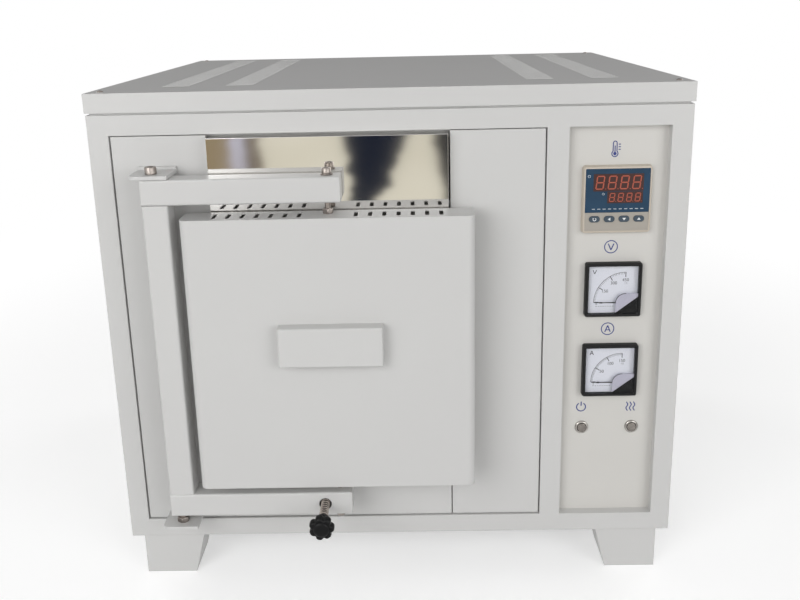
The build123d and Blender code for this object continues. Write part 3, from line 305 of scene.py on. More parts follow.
def fibre(name, code, code_dull):
    """Pressed ceramic fibre: dull white with a felted grain."""
    material = start_finish(name)
    felt = noise(700.0, 4.0)
    clouds = noise(14.0, 3.0)
    return end_finish(material, {"Base Color": blend(clouds, tint(code), tint(code_dull)),
                                 "Roughness": 0.92, "Normal": rounded(0.002, felt, 0.0004)})


coat(fibre("ceramic fibre", "efece4", "e2dccf"), "mouth_ring", "lining_boards")


# Furnace inside: a fired hearth slab, six double spiral rods of silicon carbide along the side
# walls, and a ceramic sheathed probe through the back board.

hearth = start_finish("fired hearth")
grain = noise(260.0, 3.0)
end_finish(hearth, {"Base Color": blend(grain, tint("b9a27e"), tint("96805d")),
                    "Roughness": 0.85, "Normal": rounded(0.001, grain, 0.0003)})
coat(hearth, "hearth_plate")
carbide = start_finish("silicon carbide")
grain = noise(900.0, 3.0)
end_finish(carbide, {"Base Color": blend(grain, tint("4a4b4e"), tint("313236")),
                     "Roughness": 0.7, "Normal": rounded(0.0004, grain, 0.0002)})
rod_low, rod_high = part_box("heating_elements")
rod_radius, clamp_radius, broken_edge = 0.007, 0.011, 0.0008
helix_low, helix_high = rod_low[2] + 0.030, rod_low[2] + 0.215
helix_pitch, groove = 0.024, 0.0022
rod_spots = [(x, y) for x in (rod_low[0] + clamp_radius, rod_high[0] - clamp_radius)
             for y in np.linspace(rod_low[1] + clamp_radius, rod_high[1] - clamp_radius, 3)]
heights = np.concatenate([[rod_low[2], helix_low],
                          np.linspace(helix_low + 0.001, helix_high, 150),
                          [helix_high + 0.001, rod_high[2]]])
turn = np.linspace(0, 2 * np.pi, 20, endpoint=False)
wave = np.cos(2 * (turn[None, :] - heights[:, None] * 2 * np.pi / helix_pitch))
cut = np.clip(wave * 4 - 3, 0, 1) * groove
cut[:2] = cut[-2:] = 0
radius = rod_radius * 0.995 - cut
ring = np.stack([radius * np.cos(turn), radius * np.sin(turn)], axis=-1)
rods = [skin(stand(ring, heights, (x, y, 0), RIGHT, BACK, UP)) for x, y in rod_spots]
piece("spiral_rods", rods, carbide, "cabinet", "silicon_carbide", "heating_elements")
clamp_low = rod_high[2] - 0.028
clamp_high = clamp_low + 0.018
profile = [(clamp_radius - broken_edge, clamp_low), (clamp_radius, clamp_low + broken_edge),
           (clamp_radius, clamp_high - broken_edge), (clamp_radius - broken_edge, clamp_high)]
clamps = [skin(turned(profile, (x, y, 0), RIGHT, BACK, UP, 24)) for x, y in rod_spots]
piece("rod_clamps", clamps, steel("braided aluminium", "c5c6c8", 0.4, brushed=0.2),
      "cabinet", "silicon_carbide")
galvanised = start_finish("galvanised sheet")
spangle = Wire.make("ShaderNodeTexVoronoi", {"feature": "F1"},
                    {"Vector": place(), "Scale": 90.0}, output=1)
tone = Wire.make("ShaderNodeSeparateColor", {}, {"Color": spangle})
end_finish(galvanised, {"Base Color": blend(tone, tint("b3b7b9"), tint("979c9f")),
                        "Metallic": 0.9, "Roughness": 0.38 + tone * 0.12,
                        "Normal": rounded(0.0005)})
coat(galvanised, "furnace_case", "divider_panel")
coat(powder_coat("black paint", "26262a", "1f1f22", gloss=0.5), "furnace_stand")
sheath = start_finish("glazed ceramic")
end_finish(sheath, {"Base Color": tint("e9e2d2"), "Roughness": 0.3, "Normal": rounded(0.001)})
coat(sheath, "thermocouple")


# Hinge plates and hinge screws: 5 mm steel plates carry two M10 cap screws, on which the arm
# swings. The lower one is a jack screw with a jam nut, a lock nut and a thrust collar.

coat(grey_coat, "upper_hinge_plate", "lower_hinge_plate")
FRONT, DOWN = (0, -1, 0), (0, 0, -1)
UPRIGHT = {UP: BACK, DOWN: FRONT, FRONT: UP, BACK: DOWN}


def outline_hex(flats, count):
    """Hexagon: the flat's distance over the cosine of the angle from its middle."""
    turn = np.linspace(0, 2 * np.pi, count, endpoint=False)
    from_middle = (turn + np.pi / 6) % (np.pi / 3) - np.pi / 6
    radius = flats / 2 / np.cos(from_middle)
    return np.stack([radius * np.cos(turn), radius * np.sin(turn)], axis=-1)


def cap_screw(origin, out, radius, height, socket, shank, length):
    """Socket head cap screw from its seat: shank below, a knurled head and a hexagon above."""
    count, ribs, rib_share = 144, 36, 0.018
    turn = np.linspace(0, 2 * np.pi, count, endpoint=False)
    unit = outline_circle(1.0, count)
    head = unit * radius * (1 - rib_share * (0.5 + 0.5 * np.cos(ribs * turn)))[:, None]
    rim = unit * (radius - 0.0008)
    hexagon = outline_hex(socket, count)
    rows = [(unit * shank, -length), (unit * shank, 0), (rim, 0), (head, 0.0008),
            (head, height - 0.0012), (rim, height), (unit * (socket * 0.62), height),
            (hexagon, height - 0.0005), (hexagon * 0.98, height - 0.0045),
            (unit * 0.0003, height - 0.0052)]
    return skin(stand(*zip(*rows), origin, RIGHT, UPRIGHT[out], out))


def nut(origin, out, flats, height, bore):
    """Hexagon nut: the hexagon cut by a cone at both faces, round a plain bore."""
    count = 96
    hexagon = outline_hex(flats, count)
    far = np.linalg.norm(hexagon, axis=1, keepdims=True)
    cone = hexagon * (np.minimum(far, flats * 0.485) / far)
    half = hexagon * (np.minimum(far, flats * 0.53) / far)
    hole = outline_circle(bore, count)
    step = height * 0.1
    rows = [(cone, 0), (half, step * 0.7), (hexagon, step * 1.6), (hexagon, height - step * 1.6),
            (half, height - step * 0.7), (cone, height), (hole, height), (hole, 0)]
    return skin(stand(*zip(*rows), origin, RIGHT, UPRIGHT[out], out), ring=True)


def washer(origin, out, radius, height, bore):
    """Flat ring with broken edges."""
    edge = height * 0.2
    profile = [(bore, 0), (radius - edge, 0), (radius, edge), (radius, height - edge),
               (radius - edge, height), (bore, height)]
    return skin(turned(profile, origin, RIGHT, UPRIGHT[out], out, 48), ring=True)


hinge_low, hinge_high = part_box("hinge_screws")
hinge = (hinge_low + hinge_high) / 2
head_height, jam_height, plate_height, collar_rise = 0.010, 0.006, 0.005, 0.0177
upper_plate = hinge_high[2] - head_height
lower_plate = hinge_low[2] + jam_height
jack_screw = [(0.0042, 0), (0.005, 0.0008), (0.005, 0.046)]
hinge_set = [
    cap_screw((hinge.x, hinge.y, upper_plate), UP, radius=0.0079, height=head_height,
              socket=0.008, shank=0.005, length=0.0233),
    nut((hinge.x, hinge.y, hinge_low[2]), UP, flats=0.0159, height=jam_height, bore=0.0046),
    nut((hinge.x, hinge.y, lower_plate + plate_height), UP, flats=0.0159, height=0.008,
        bore=0.0046),
    washer((hinge.x, hinge.y, lower_plate + collar_rise), UP, radius=0.0079, height=0.004,
           bore=0.0046),
    skin(turned(jack_screw, (hinge.x, hinge.y, lower_plate - 0.0055), RIGHT, BACK, UP, 40)),
]
piece("hinge_screw_set", hinge_set, zinc_plate, "cabinet", "zinc_screw", "hinge_screws")


# Swinging arm: three lengths of 35 mm square tube, welded into a C and powder coated with the
# cabinet. It carries the door on its free ends and the latch through its lower bar.

coat(grey_coat, "arm_top_bar", "arm_upright", "arm_bottom_bar")


# Door: a folded steel tray with round upright edges and vent slots, closed behind by a polished
# plate round a fibre plug. A folded pull handle is spot welded to the front.

coat(grey_coat, "door_shell", "door_handle")
plug_with_painted_shade = start_finish("door filling")
felt = noise(700.0, 4.0)
folded_rim = 0.003
# Where it lies inside the door shell the plug is painted near black: painted shade within the
# door.
inside = place("Y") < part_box("door_shell")[1][1] - folded_rim
end_finish(plug_with_painted_shade, {"Base Color": blend(inside, tint("efece4"), tint("141414")),
                  "Roughness": 0.92, "Normal": rounded(0.002, felt, 0.0004)})
coat(plug_with_painted_shade, "door_plug")
pivot_low, pivot_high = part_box("door_pivot_screws")
pivot = (pivot_low + pivot_high) / 2
door_low, door_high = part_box("door_shell")
arm_low, arm_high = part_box("arm_bottom_bar")[0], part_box("arm_top_bar")[1]
bar_gap, washer_height, screw_grip = 0.0002, 0.0016, 0.014
pivot_set = []
for bar, out, door_end in ((arm_high[2] + bar_gap, UP, door_high[2]),
                           (arm_low[2] - bar_gap, DOWN, door_low[2])):
    seat = bar + out[2] * washer_height
    pivot_set += [
        washer((pivot.x, pivot.y, bar), out, radius=0.0084, height=washer_height, bore=0.0039),
        cap_screw((pivot.x, pivot.y, seat), out, radius=0.0064, height=0.008, socket=0.006,
                  shank=0.004, length=abs(seat - door_end) + screw_grip)]
piece("pivot_screw_set", pivot_set, zinc_plate, "door", "zinc_screw", "door_pivot_screws")
pivot_nuts = [nut((pivot.x, pivot.y, end[2]), out, flats=0.0129, height=0.0075, bore=0.0041)
              for end, out in ((door_high, UP), (door_low, DOWN))]
piece("pivot_nut_set", pivot_nuts, zinc_plate, "door", "zinc_screw", "door_pivot_nuts")


# Latch: a threaded rod slides through the lower bar. A coil spring and a washer push it out,
# and a moulded seven lobed knob screws it into the nut behind the panel.

rod_low, rod_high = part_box("latch_rod")
latch = (rod_low + rod_high) / 2
rod_radius = (rod_high.x - rod_low.x) / 2
rod_length = rod_high.y - rod_low.y
root, crest, half_pitch, thread_end = rod_radius * 0.9, rod_radius * 0.995, 0.000625, 0.022
profile = [(rod_radius * 0.72, 0), (root, 0.0006)]
profile += [(root if i % 2 else crest, step)
            for i, step in enumerate(np.arange(0.0008, thread_end, half_pitch))]
profile += [(crest, 0.023), (crest, rod_length)]
oiled = steel("oiled thread", "241f1c", 0.45, brushed=0.15)
rod = skin(turned(profile, (latch.x, rod_high.y, latch.z), RIGHT, UP, FRONT, 32))
piece("threaded_rod", [rod], oiled, "latch_screw", "zinc_screw", "latch_rod")
washer_low, washer_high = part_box("latch_washer")
washer_radius = (washer_high.x - washer_low.x) / 2 * 0.99
face_play, bore_play = 0.0001, 0.0004
piece("spring_washer", [washer((latch.x, washer_high.y, latch.z), FRONT, washer_radius,
                               washer_high.y - washer_low.y - face_play,
                               rod_radius + bore_play)],
      zinc_plate, "latch_slider", "zinc_screw", "latch_washer")
coat(zinc_plate, "latch_nut")


def coil(start, length, radius, wire, turns, steps=28, sides=10):
    """Spring wire: a small circle carried along a helix, closer wound at both ends."""
    along = np.linspace(0, 1, turns * steps)
    turn = along * turns * 2 * np.pi
    eased = along - 0.028 * np.sin(2 * np.pi * along) / 1.5
    middle = np.stack([radius * np.cos(turn), -eased * length, radius * np.sin(turn)], -1)
    outward = np.stack([np.cos(turn), np.zeros_like(turn), np.sin(turn)], -1)
    tangent = np.gradient(middle, axis=0)
    tangent /= np.linalg.norm(tangent, axis=1, keepdims=True)
    aside = np.cross(tangent, outward)
    spin = np.linspace(0, 2 * np.pi, sides, endpoint=False)[None, :, None]
    return middle[:, None] + wire * (np.cos(spin) * outward[:, None]
                                     + np.sin(spin) * aside[:, None]) + np.array(start)


spring_low, spring_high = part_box("latch_spring")
wire, turns, push = 0.0008, 15, 0.028
spring_radius = (spring_high.x - spring_low.x) / 2 - wire
spring_length = spring_high.y - spring_low.y - 2 * wire
spring_steel = steel("spring steel", "d6cac0", 0.3, brushed=0.1)
spring_wire = coil((latch.x, spring_high.y - wire, latch.z), spring_length, spring_radius, wire,
                   turns)
spring = piece("coil_spring", [skin(spring_wire)], spring_steel, "arm", "spring_steel",
               "latch_spring", sharp=60.0)
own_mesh(spring)
knob_low, knob_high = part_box("latch_knob")
knob_radius = (knob_high.x - knob_low.x) / 2
knob_length = knob_high.y - knob_low.y
knob_plastic = start_finish("moulded knob")
speckle = noise(1500.0, 2.0)
end_finish(knob_plastic, {"Base Color": tint("040405"), "Roughness": 0.3 + speckle * 0.1,
                          "Specular IOR Level": 0.18,
                          "Normal": rounded(0.0004, speckle, 0.00003)})


def knob_skin(radius, length, lobes):
    """Star knob: a circle whose radius swells to the lobes and back along the axis."""
    turn = np.linspace(0, 2 * np.pi, 168, endpoint=False)
    dip = (0.5 - 0.5 * np.cos(lobes * turn)) ** 2.2
    widest, longest, deepest = 0.0185, 0.028, 0.0031
    rows = [(0.0042, 0, 0.0), (0.0100, 0, 0.0), (0.0108, 0.0008, 0.0), (0.0108, 0.0070, 0.0),
            (0.0114, 0.0100, 0.1), (0.0132, 0.0116, 0.45), (0.0160, 0.0124, 0.85),
            (0.0175, 0.0134, 1.0), (0.01835, 0.0150, 1.0), (widest, 0.0170, 1.0),
            (widest, 0.0205, 1.0), (0.0182, 0.0225, 1.0), (0.0174, 0.0240, 1.0),
            (0.0160, 0.0250, 0.95), (0.0142, 0.0254, 0.7), (0.0126, 0.0252, 0.3),
            (0.0118, 0.0250, 0.0), (0.0112, 0.0262, 0.0), (0.0095, 0.0272, 0.0),
            (0.0060, 0.0278, 0.0), (0.0020, longest, 0.0)]
    size, height, share = np.array(rows).T
    away = size[:, None] * radius / widest - deepest * share[:, None] * dip
    ring = np.stack([away * np.cos(turn), away * np.sin(turn)], axis=-1)
    return skin(stand(ring, height * length / longest, (latch.x, knob_high.y, latch.z), RIGHT,
                      UP, FRONT))


piece("star_knob", [knob_skin(knob_radius, knob_length, lobes=7)], knob_plastic,
      "latch_screw", "knob_black", "latch_knob", sharp=50.0)


# Control panel: a flat painted sheet set back in the frame. Each instrument has a small blue
# screen printed sign above it: a thermometer, a ringed V and A, a power sign and heat waves.

panel_coat = powder_coat("panel powder coat", "d1cfcb", "cccac5")
coat(panel_coat, "control_panel")
panel_low, panel_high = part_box("control_panel")
panel_x = (panel_low.x + panel_high.x) / 2
panel_y = panel_low.y


def on_panel(outlines, heights, x, z, ring=False):
    """Carries outlines to their distances in front of the panel, about a point on it."""
    return skin(stand(outlines, heights, (x, panel_y, z), RIGHT, UP, FRONT), ring)


def prism(outline, low, high, centre):
    """Flat plate on the panel: an outline carried between two distances in front of it."""
    return on_panel([outline, outline], [low, high], panel_x + centre[0], centre[1])


def band(path, width, ring=False):
    """Flat stroke: the path moved half the width to both sides, along its own normal."""
    path = np.array(path, float)
    if ring:
        along = np.roll(path, -1, axis=0) - np.roll(path, 1, axis=0)
    else:
        along = np.gradient(path, axis=0)
    along /= np.linalg.norm(along, axis=1, keepdims=True)
    aside = np.stack([-along[:, 1], along[:, 0]], axis=-1) * width / 2
    return path + aside, path - aside


def stroke(path, width, low, high, centre):
    """Plate along an open stroke."""
    left, right_side = band(path, width)
    return prism(np.concatenate([left, right_side[::-1]]), low, high, centre)


def hoop(path, width, low, high, centre):
    """Plate along a closed stroke."""
    outer, inner = band(path, width, ring=True)
    return on_panel([outer, outer, inner, inner], [low, high, high, low],
                    panel_x + centre[0], centre[1], ring=True)


def arc(radius, start, end, count=24, centre=(0, 0)):
    """Points of an arc, with its angles in degrees from the right, anticlockwise."""
    turn = np.radians(np.linspace(start, end, count))
    return np.stack([centre[0] + radius * np.cos(turn), centre[1] + radius * np.sin(turn)],
                    axis=-1)


def ink(name, code, roughness=0.5):
    """Printing ink or a plain plastic of one colour."""
    material = start_finish(name)
    return end_finish(material, {"Base Color": tint(code), "Roughness": roughness})


INK = 0.00008
blue_ink = ink("blue ink", "24347a")
sign_x, thin, bold = -0.004, 0.0014, 0.0016
bulb, tube_end, spot = (0, -0.0068), (0, 0.0080), (sign_x, 0.6480)
temperature_sign = [
    hoop(np.concatenate([arc(0.0042, 130, 410, 30, bulb), arc(0.0025, 0, 180, 10, tube_end)]),
         thin, 0, INK, spot),
    prism(arc(0.0024, 0, 348, 24, bulb), 0, INK, spot),
    stroke([(0, -0.0060), (0, 0.0044)], thin, 0, INK * 0.9, spot),
]
temperature_sign += [stroke([(0.0048, tick), (0.0078, tick)], 0.0013, 0, INK, spot)
                     for tick in (-0.0010, 0.0026, 0.0062)]
volt_mark = [(-0.0028, 0.0032), (0, -0.0034), (0.0028, 0.0032)]
amp_legs = [(-0.0028, -0.0034), (0, 0.0036), (0.0028, -0.0034)]
amp_bar = [(-0.0016, -0.0012), (0.0016, -0.0012)]
volt_height, amp_height, grown = 0.5085, 0.3853, 1.4
meter_signs = []
for height, letter in ((volt_height, volt_mark), (amp_height, amp_legs)):
    letter, spot = np.array(letter) * grown, (sign_x, height)
    meter_signs += [hoop(arc(0.0090, 0, 354, 60), thin, 0, INK, spot),
                    stroke(letter[:2], bold, 0, INK, spot),
                    stroke(letter[1:], bold, 0, INK * 0.9, spot)]
meter_signs.append(stroke(np.array(amp_bar) * grown, thin, 0, INK * 0.8, spot))
power_spot, heat_spot = (-0.0385, 0.2625), (0.0345, 0.2625)
power_sign = [stroke(arc(0.0066, 120, 420, 40), bold, 0, INK, power_spot),
              stroke([(0, 0.0016), (0, 0.0086)], bold, 0, INK, power_spot)]
rise = np.linspace(-0.0072, 0.0072, 30)
wave = np.stack([0.0012 * np.sin(rise * 2 * np.pi / 0.0108), rise], axis=-1)
heat_sign = [stroke(wave + (gap, 0), 0.0015, 0, INK, heat_spot) for gap in (-0.0052, 0, 0.0052)]
piece("printed_signs", temperature_sign + meter_signs + power_sign + heat_sign, blue_ink,
      "cabinet", "panel_paint")


# Temperature controller: a moulded beige frame snaps round a blue tinted window with two rows
# of red figures, above a grey field with four oval rubber keys. Its case sits behind the panel.

def outline_box(half_x, half_y, radius, steps=6):
    """Rounded rectangle: a quarter circle about each corner's centre, joined by straights."""
    quarter = np.linspace(0, np.pi / 2, steps)
    turn = (np.arange(4)[:, None] * np.pi / 2 + quarter).ravel()
    side_x = np.repeat([1, -1, -1, 1], steps) * (half_x - radius)
    side_y = np.repeat([1, 1, -1, -1], steps) * (half_y - radius)
    return np.stack([side_x + radius * np.cos(turn), side_y + radius * np.sin(turn)], axis=-1)


beige = start_finish("beige plastic")
grain = noise(1200.0, 2.0)
end_finish(beige, {"Base Color": tint("c6bcae"), "Roughness": 0.42,
                   "Normal": rounded(0.0006, grain, 0.00003)})
black_plastic = start_finish("black plastic")
grain = noise(1400.0, 2.0)
end_finish(black_plastic, {"Base Color": tint("0c0c0d"), "Roughness": 0.38 + grain * 0.1,
                           "Specular IOR Level": 0.25,
                           "Normal": rounded(0.0005, grain, 0.00003)})
coat(black_plastic, "controller_body")
bezel_low, bezel_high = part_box("controller_bezel")
bezel_z = (bezel_low.z + bezel_high.z) / 2
bezel_half = (bezel_high.z - bezel_low.z) / 2
bezel_out = panel_y - bezel_low.y
window_low, window_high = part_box("controller_display")
window_out = panel_y - window_low.y
window_half = (window_high.x - window_low.x) / 2
window_z = (window_low.z + window_high.z) / 2
window_rise = (window_high.z - window_low.z) / 2
bezel_rim, gap, sunk = 0.0040, 0.0001, 0.0010
field_low = bezel_z - bezel_half + bezel_rim
inner_z = (field_low + window_high.z) / 2
inner_rise = (window_high.z - field_low) / 2
edge_rows = [(0.0, 0.0), (0.0002, 0.0012), (0.0010, bezel_out - 0.0016),
             (0.0016, bezel_out - 0.0005), (0.0024, bezel_out)]
outlines = [outline_box(bezel_half - inset, bezel_half - inset, 0.0048 - inset)
            for inset, _ in edge_rows]
heights = [height for _, height in edge_rows]
inner = outline_box(window_half, inner_rise, 0.0008) + np.array([0, inner_z - bezel_z])
outlines += [inner * 1.004, inner, inner]
heights += [bezel_out, bezel_out - 0.0003, 0.0]
piece("controller_frame", [on_panel(outlines, heights, panel_x, bezel_z, ring=True)], beige,
      "cabinet", "beige_plastic", "controller_bezel")
field_z = (field_low + window_low.z) / 2
field_rise = (window_low.z - field_low) / 2
piece("key_field", [prism(outline_box(window_half - gap, field_rise - gap, 0.0006), sunk,
                          bezel_out - 0.0006, (0, field_z))],
      ink("key field", "a59f96", 0.55), "cabinet", "beige_plastic")
blue_glass = start_finish("blue window")
clouds = noise(30.0, 2.0)
end_finish(blue_glass, {"Base Color": blend(clouds, tint("2a4a66"), tint("1e384e")),
                        "Roughness": 0.1, "Specular IOR Level": 0.3})
piece("tinted_window", [prism(outline_box(window_half - gap, window_rise - gap, 0.0006), sunk,
                              window_out, (0, window_z))],
      blue_glass, "cabinet", "blue_window", "controller_display")
red_row = (0.001, bezel_z + 0.0245)
small_row = (0.0105, bezel_z + 0.0035)
row_windows = [prism(outline_box(half_width, half_height, 0.0006), window_out - 0.0002,
                     window_out + INK, row)
               for half_width, half_height, row in ((0.0345, 0.0122, red_row),
                                                    (0.0245, 0.0082, small_row))]
piece("figure_windows", row_windows, ink("maroon window", "340f0c", 0.3), "cabinet",
      "blue_window")


def eight(width, height, thick, lean):
    """Seven bars of a figure 8, each a hexagon whose points lie on the figure's corners."""
    w, h, gap = width / 2, height / 2, thick * 0.12
    ends = [((-w, h), (w, h)), ((-w, 0), (w, 0)), ((-w, -h), (w, -h)), ((-w, 0), (-w, h)),
            ((w, 0), (w, h)), ((-w, -h), (-w, 0)), ((w, -h), (w, 0))]
    bars = []
    for start, end in ends:
        start, end = np.array(start), np.array(end)
        length = np.linalg.norm(end - start)
        way = (end - start) / length
        side = np.array([-way[1], way[0]])
        t = thick / 2
        shape = np.array([(gap, 0), (gap + t, t), (length - gap - t, t), (length - gap, 0),
                          (length - gap - t, -t), (gap + t, -t)])
        flat = start + shape[:, :1] * way + shape[:, 1:] * side
        flat[:, 0] += flat[:, 1] * lean
        bars.append(flat)
    return bars


glow_red = start_finish("figure segments")
end_finish(glow_red, {"Base Color": tint("8f4432"), "Roughness": 0.5,
                      "Emission Color": tint("c25a40"), "Emission Strength": 0.2})
figures_lit, figure_lean, lit = [], 0.12, window_out + 2 * INK
for row, pitch, size in ((red_row, 0.0168, (0.0098, 0.0178, 0.0017)),
                         (small_row, 0.0118, (0.0064, 0.0112, 0.0013))):
    for step in (-1.5, -0.5, 0.5, 1.5):
        centre = (row[0] + step * pitch, row[1])
        figures_lit += [prism(bar, window_out, lit, centre) for bar in eight(*size, figure_lean)]
        dot = (centre[0] + size[0] * 0.78, centre[1] - size[1] / 2)
        figures_lit.append(prism(outline_circle(size[2] * 0.42, 12), window_out, lit, dot))
piece("figure_segments", figures_lit, glow_red, "cabinet", "blue_window")
marks = [prism(outline_box(0.0021, 0.0005, 0.0002), window_out, lit, (x, bezel_z - 0.0128))
         for x in np.linspace(-0.0325, 0.0345, 10)]
marks += [hoop(arc(0.0017, 0, 340, 18), 0.0006, window_out, lit, (-0.0395, bezel_z + 0.0335)),
          hoop(arc(0.0014, 0, 340, 18), 0.0005, window_out, lit, (-0.0195, bezel_z + 0.0085))]
piece("window_marks", marks, ink("pale ink", "b9c3cc"), "cabinet", "blue_window")


def key_skin(width, height, depth, foot, x, z):
    """Oval key: a slot outline drawn in over a rounded shoulder to a shallow dished face."""
    rows = [(0.0, foot), (0.0, depth - 0.0010), (0.0001, depth - 0.0005),
            (0.0005, depth - 0.0001), (0.0009, depth), (0.0016, depth - 0.0001),
            (0.0028, depth - 0.0002)]
    outlines = [outline_box(width / 2 - inset, height / 2 - inset,
                            height / 2 - inset - 0.0001, 9) for inset, _ in rows]
    return on_panel(outlines, [far for _, far in rows], x, z)


rubber = start_finish("key rubber")
grain = noise(1600.0, 2.0)
end_finish(rubber, {"Base Color": tint("34434f"), "Roughness": 0.5 + grain * 0.1})
white_ink = ink("white ink", "e8eaec")
flat, here = (0, INK), (0, 0)
loop = arc(0.0020, 150, 420, 20)
arrows = {
    "set_key": [stroke(loop, 0.0010, *flat, here),
                prism([(-0.0030, 0.0016), (-0.0002, 0.0020), (-0.0020, -0.0004)], *flat, here)],
    "shift_key": [prism([(-0.0022, 0), (0.0014, -0.0022), (0.0014, 0.0022)], *flat, here)],
    "down_key": [prism([(0, -0.0020), (0.0024, 0.0015), (-0.0024, 0.0015)], *flat, here)],
    "up_key": [prism([(0, 0.0020), (-0.0024, -0.0015), (0.0024, -0.0015)], *flat, here)],
}
key_share, key_foot, sign_sink = 0.995, 0.0040, 0.0002
for name, signs in arrows.items():
    key_low, key_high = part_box(name)
    key = (key_low + key_high) / 2
    out = panel_y - key_low.y
    cap = key_skin((key_high.x - key_low.x) * key_share, (key_high.z - key_low.z) * key_share,
                   out, key_foot, key.x, key.z)
    piece(name + "_cap", [cap], rubber, name + "_body", "grey_rubber", name)
    moved = [(points + np.array([key.x - panel_x, -(out - sign_sink), key.z]), faces)
             for points, faces in signs]
    piece(name + "_sign", moved, white_ink, name + "_body", "grey_rubber")


# Panel meters: two square moving coil meters with a black moulded frame, a white printed dial,
# a black pointer and a clear cover. A pale cover over the coil and a black corner hide the works.

def meter_figures(text, size, x, z, out):
    """Plain numbers in the built-in font, as a thin plate centred at a place on the dial."""
    curve = bpy.data.curves.new(text, "FONT")
    curve.body = text
    curve.size = size
    curve.align_x, curve.align_y = "CENTER", "CENTER"
    curve.extrude = INK / 2
    thing = bpy.data.objects.new(text, curve)
    mesh = bpy.data.meshes.new_from_object(thing)
    joined = bmesh.new()
    joined.from_mesh(mesh)
    bmesh.ops.remove_doubles(joined, verts=joined.verts, dist=0.000002)
    joined.to_mesh(mesh)
    joined.free()
    flat = np.empty(len(mesh.vertices) * 3)
    mesh.vertices.foreach_get("co", flat)
    flat = flat.reshape(-1, 3)
    faces = [list(face.vertices) for face in mesh.polygons]
    bpy.data.objects.remove(thing)
    return np.stack([panel_x + x + flat[:, 0], panel_y - out - flat[:, 2], z + flat[:, 1]],
                    axis=-1), faces


def scale_lines(radius, hub, z, out, fine, bold):
    """Dial scale: an arc and radial ticks from the left to the top, round the needle's hub."""
    lines = [stroke(arc(radius, 90, 180, 40, hub), 0.0005, out, out + INK, (0, z))]
    for count, length, width in ((fine, 0.0030, 0.0004), (bold, 0.0072, 0.0011)):
        for angle in np.linspace(90, 180, count):
            way = np.array([math.cos(math.radians(angle)), math.sin(math.radians(angle))])
            ends = np.array(hub) + np.array([[radius], [radius - length]]) * way
            lines.append(stroke(ends, width, out, out + INK * 0.9, (0, z)))
    return lines


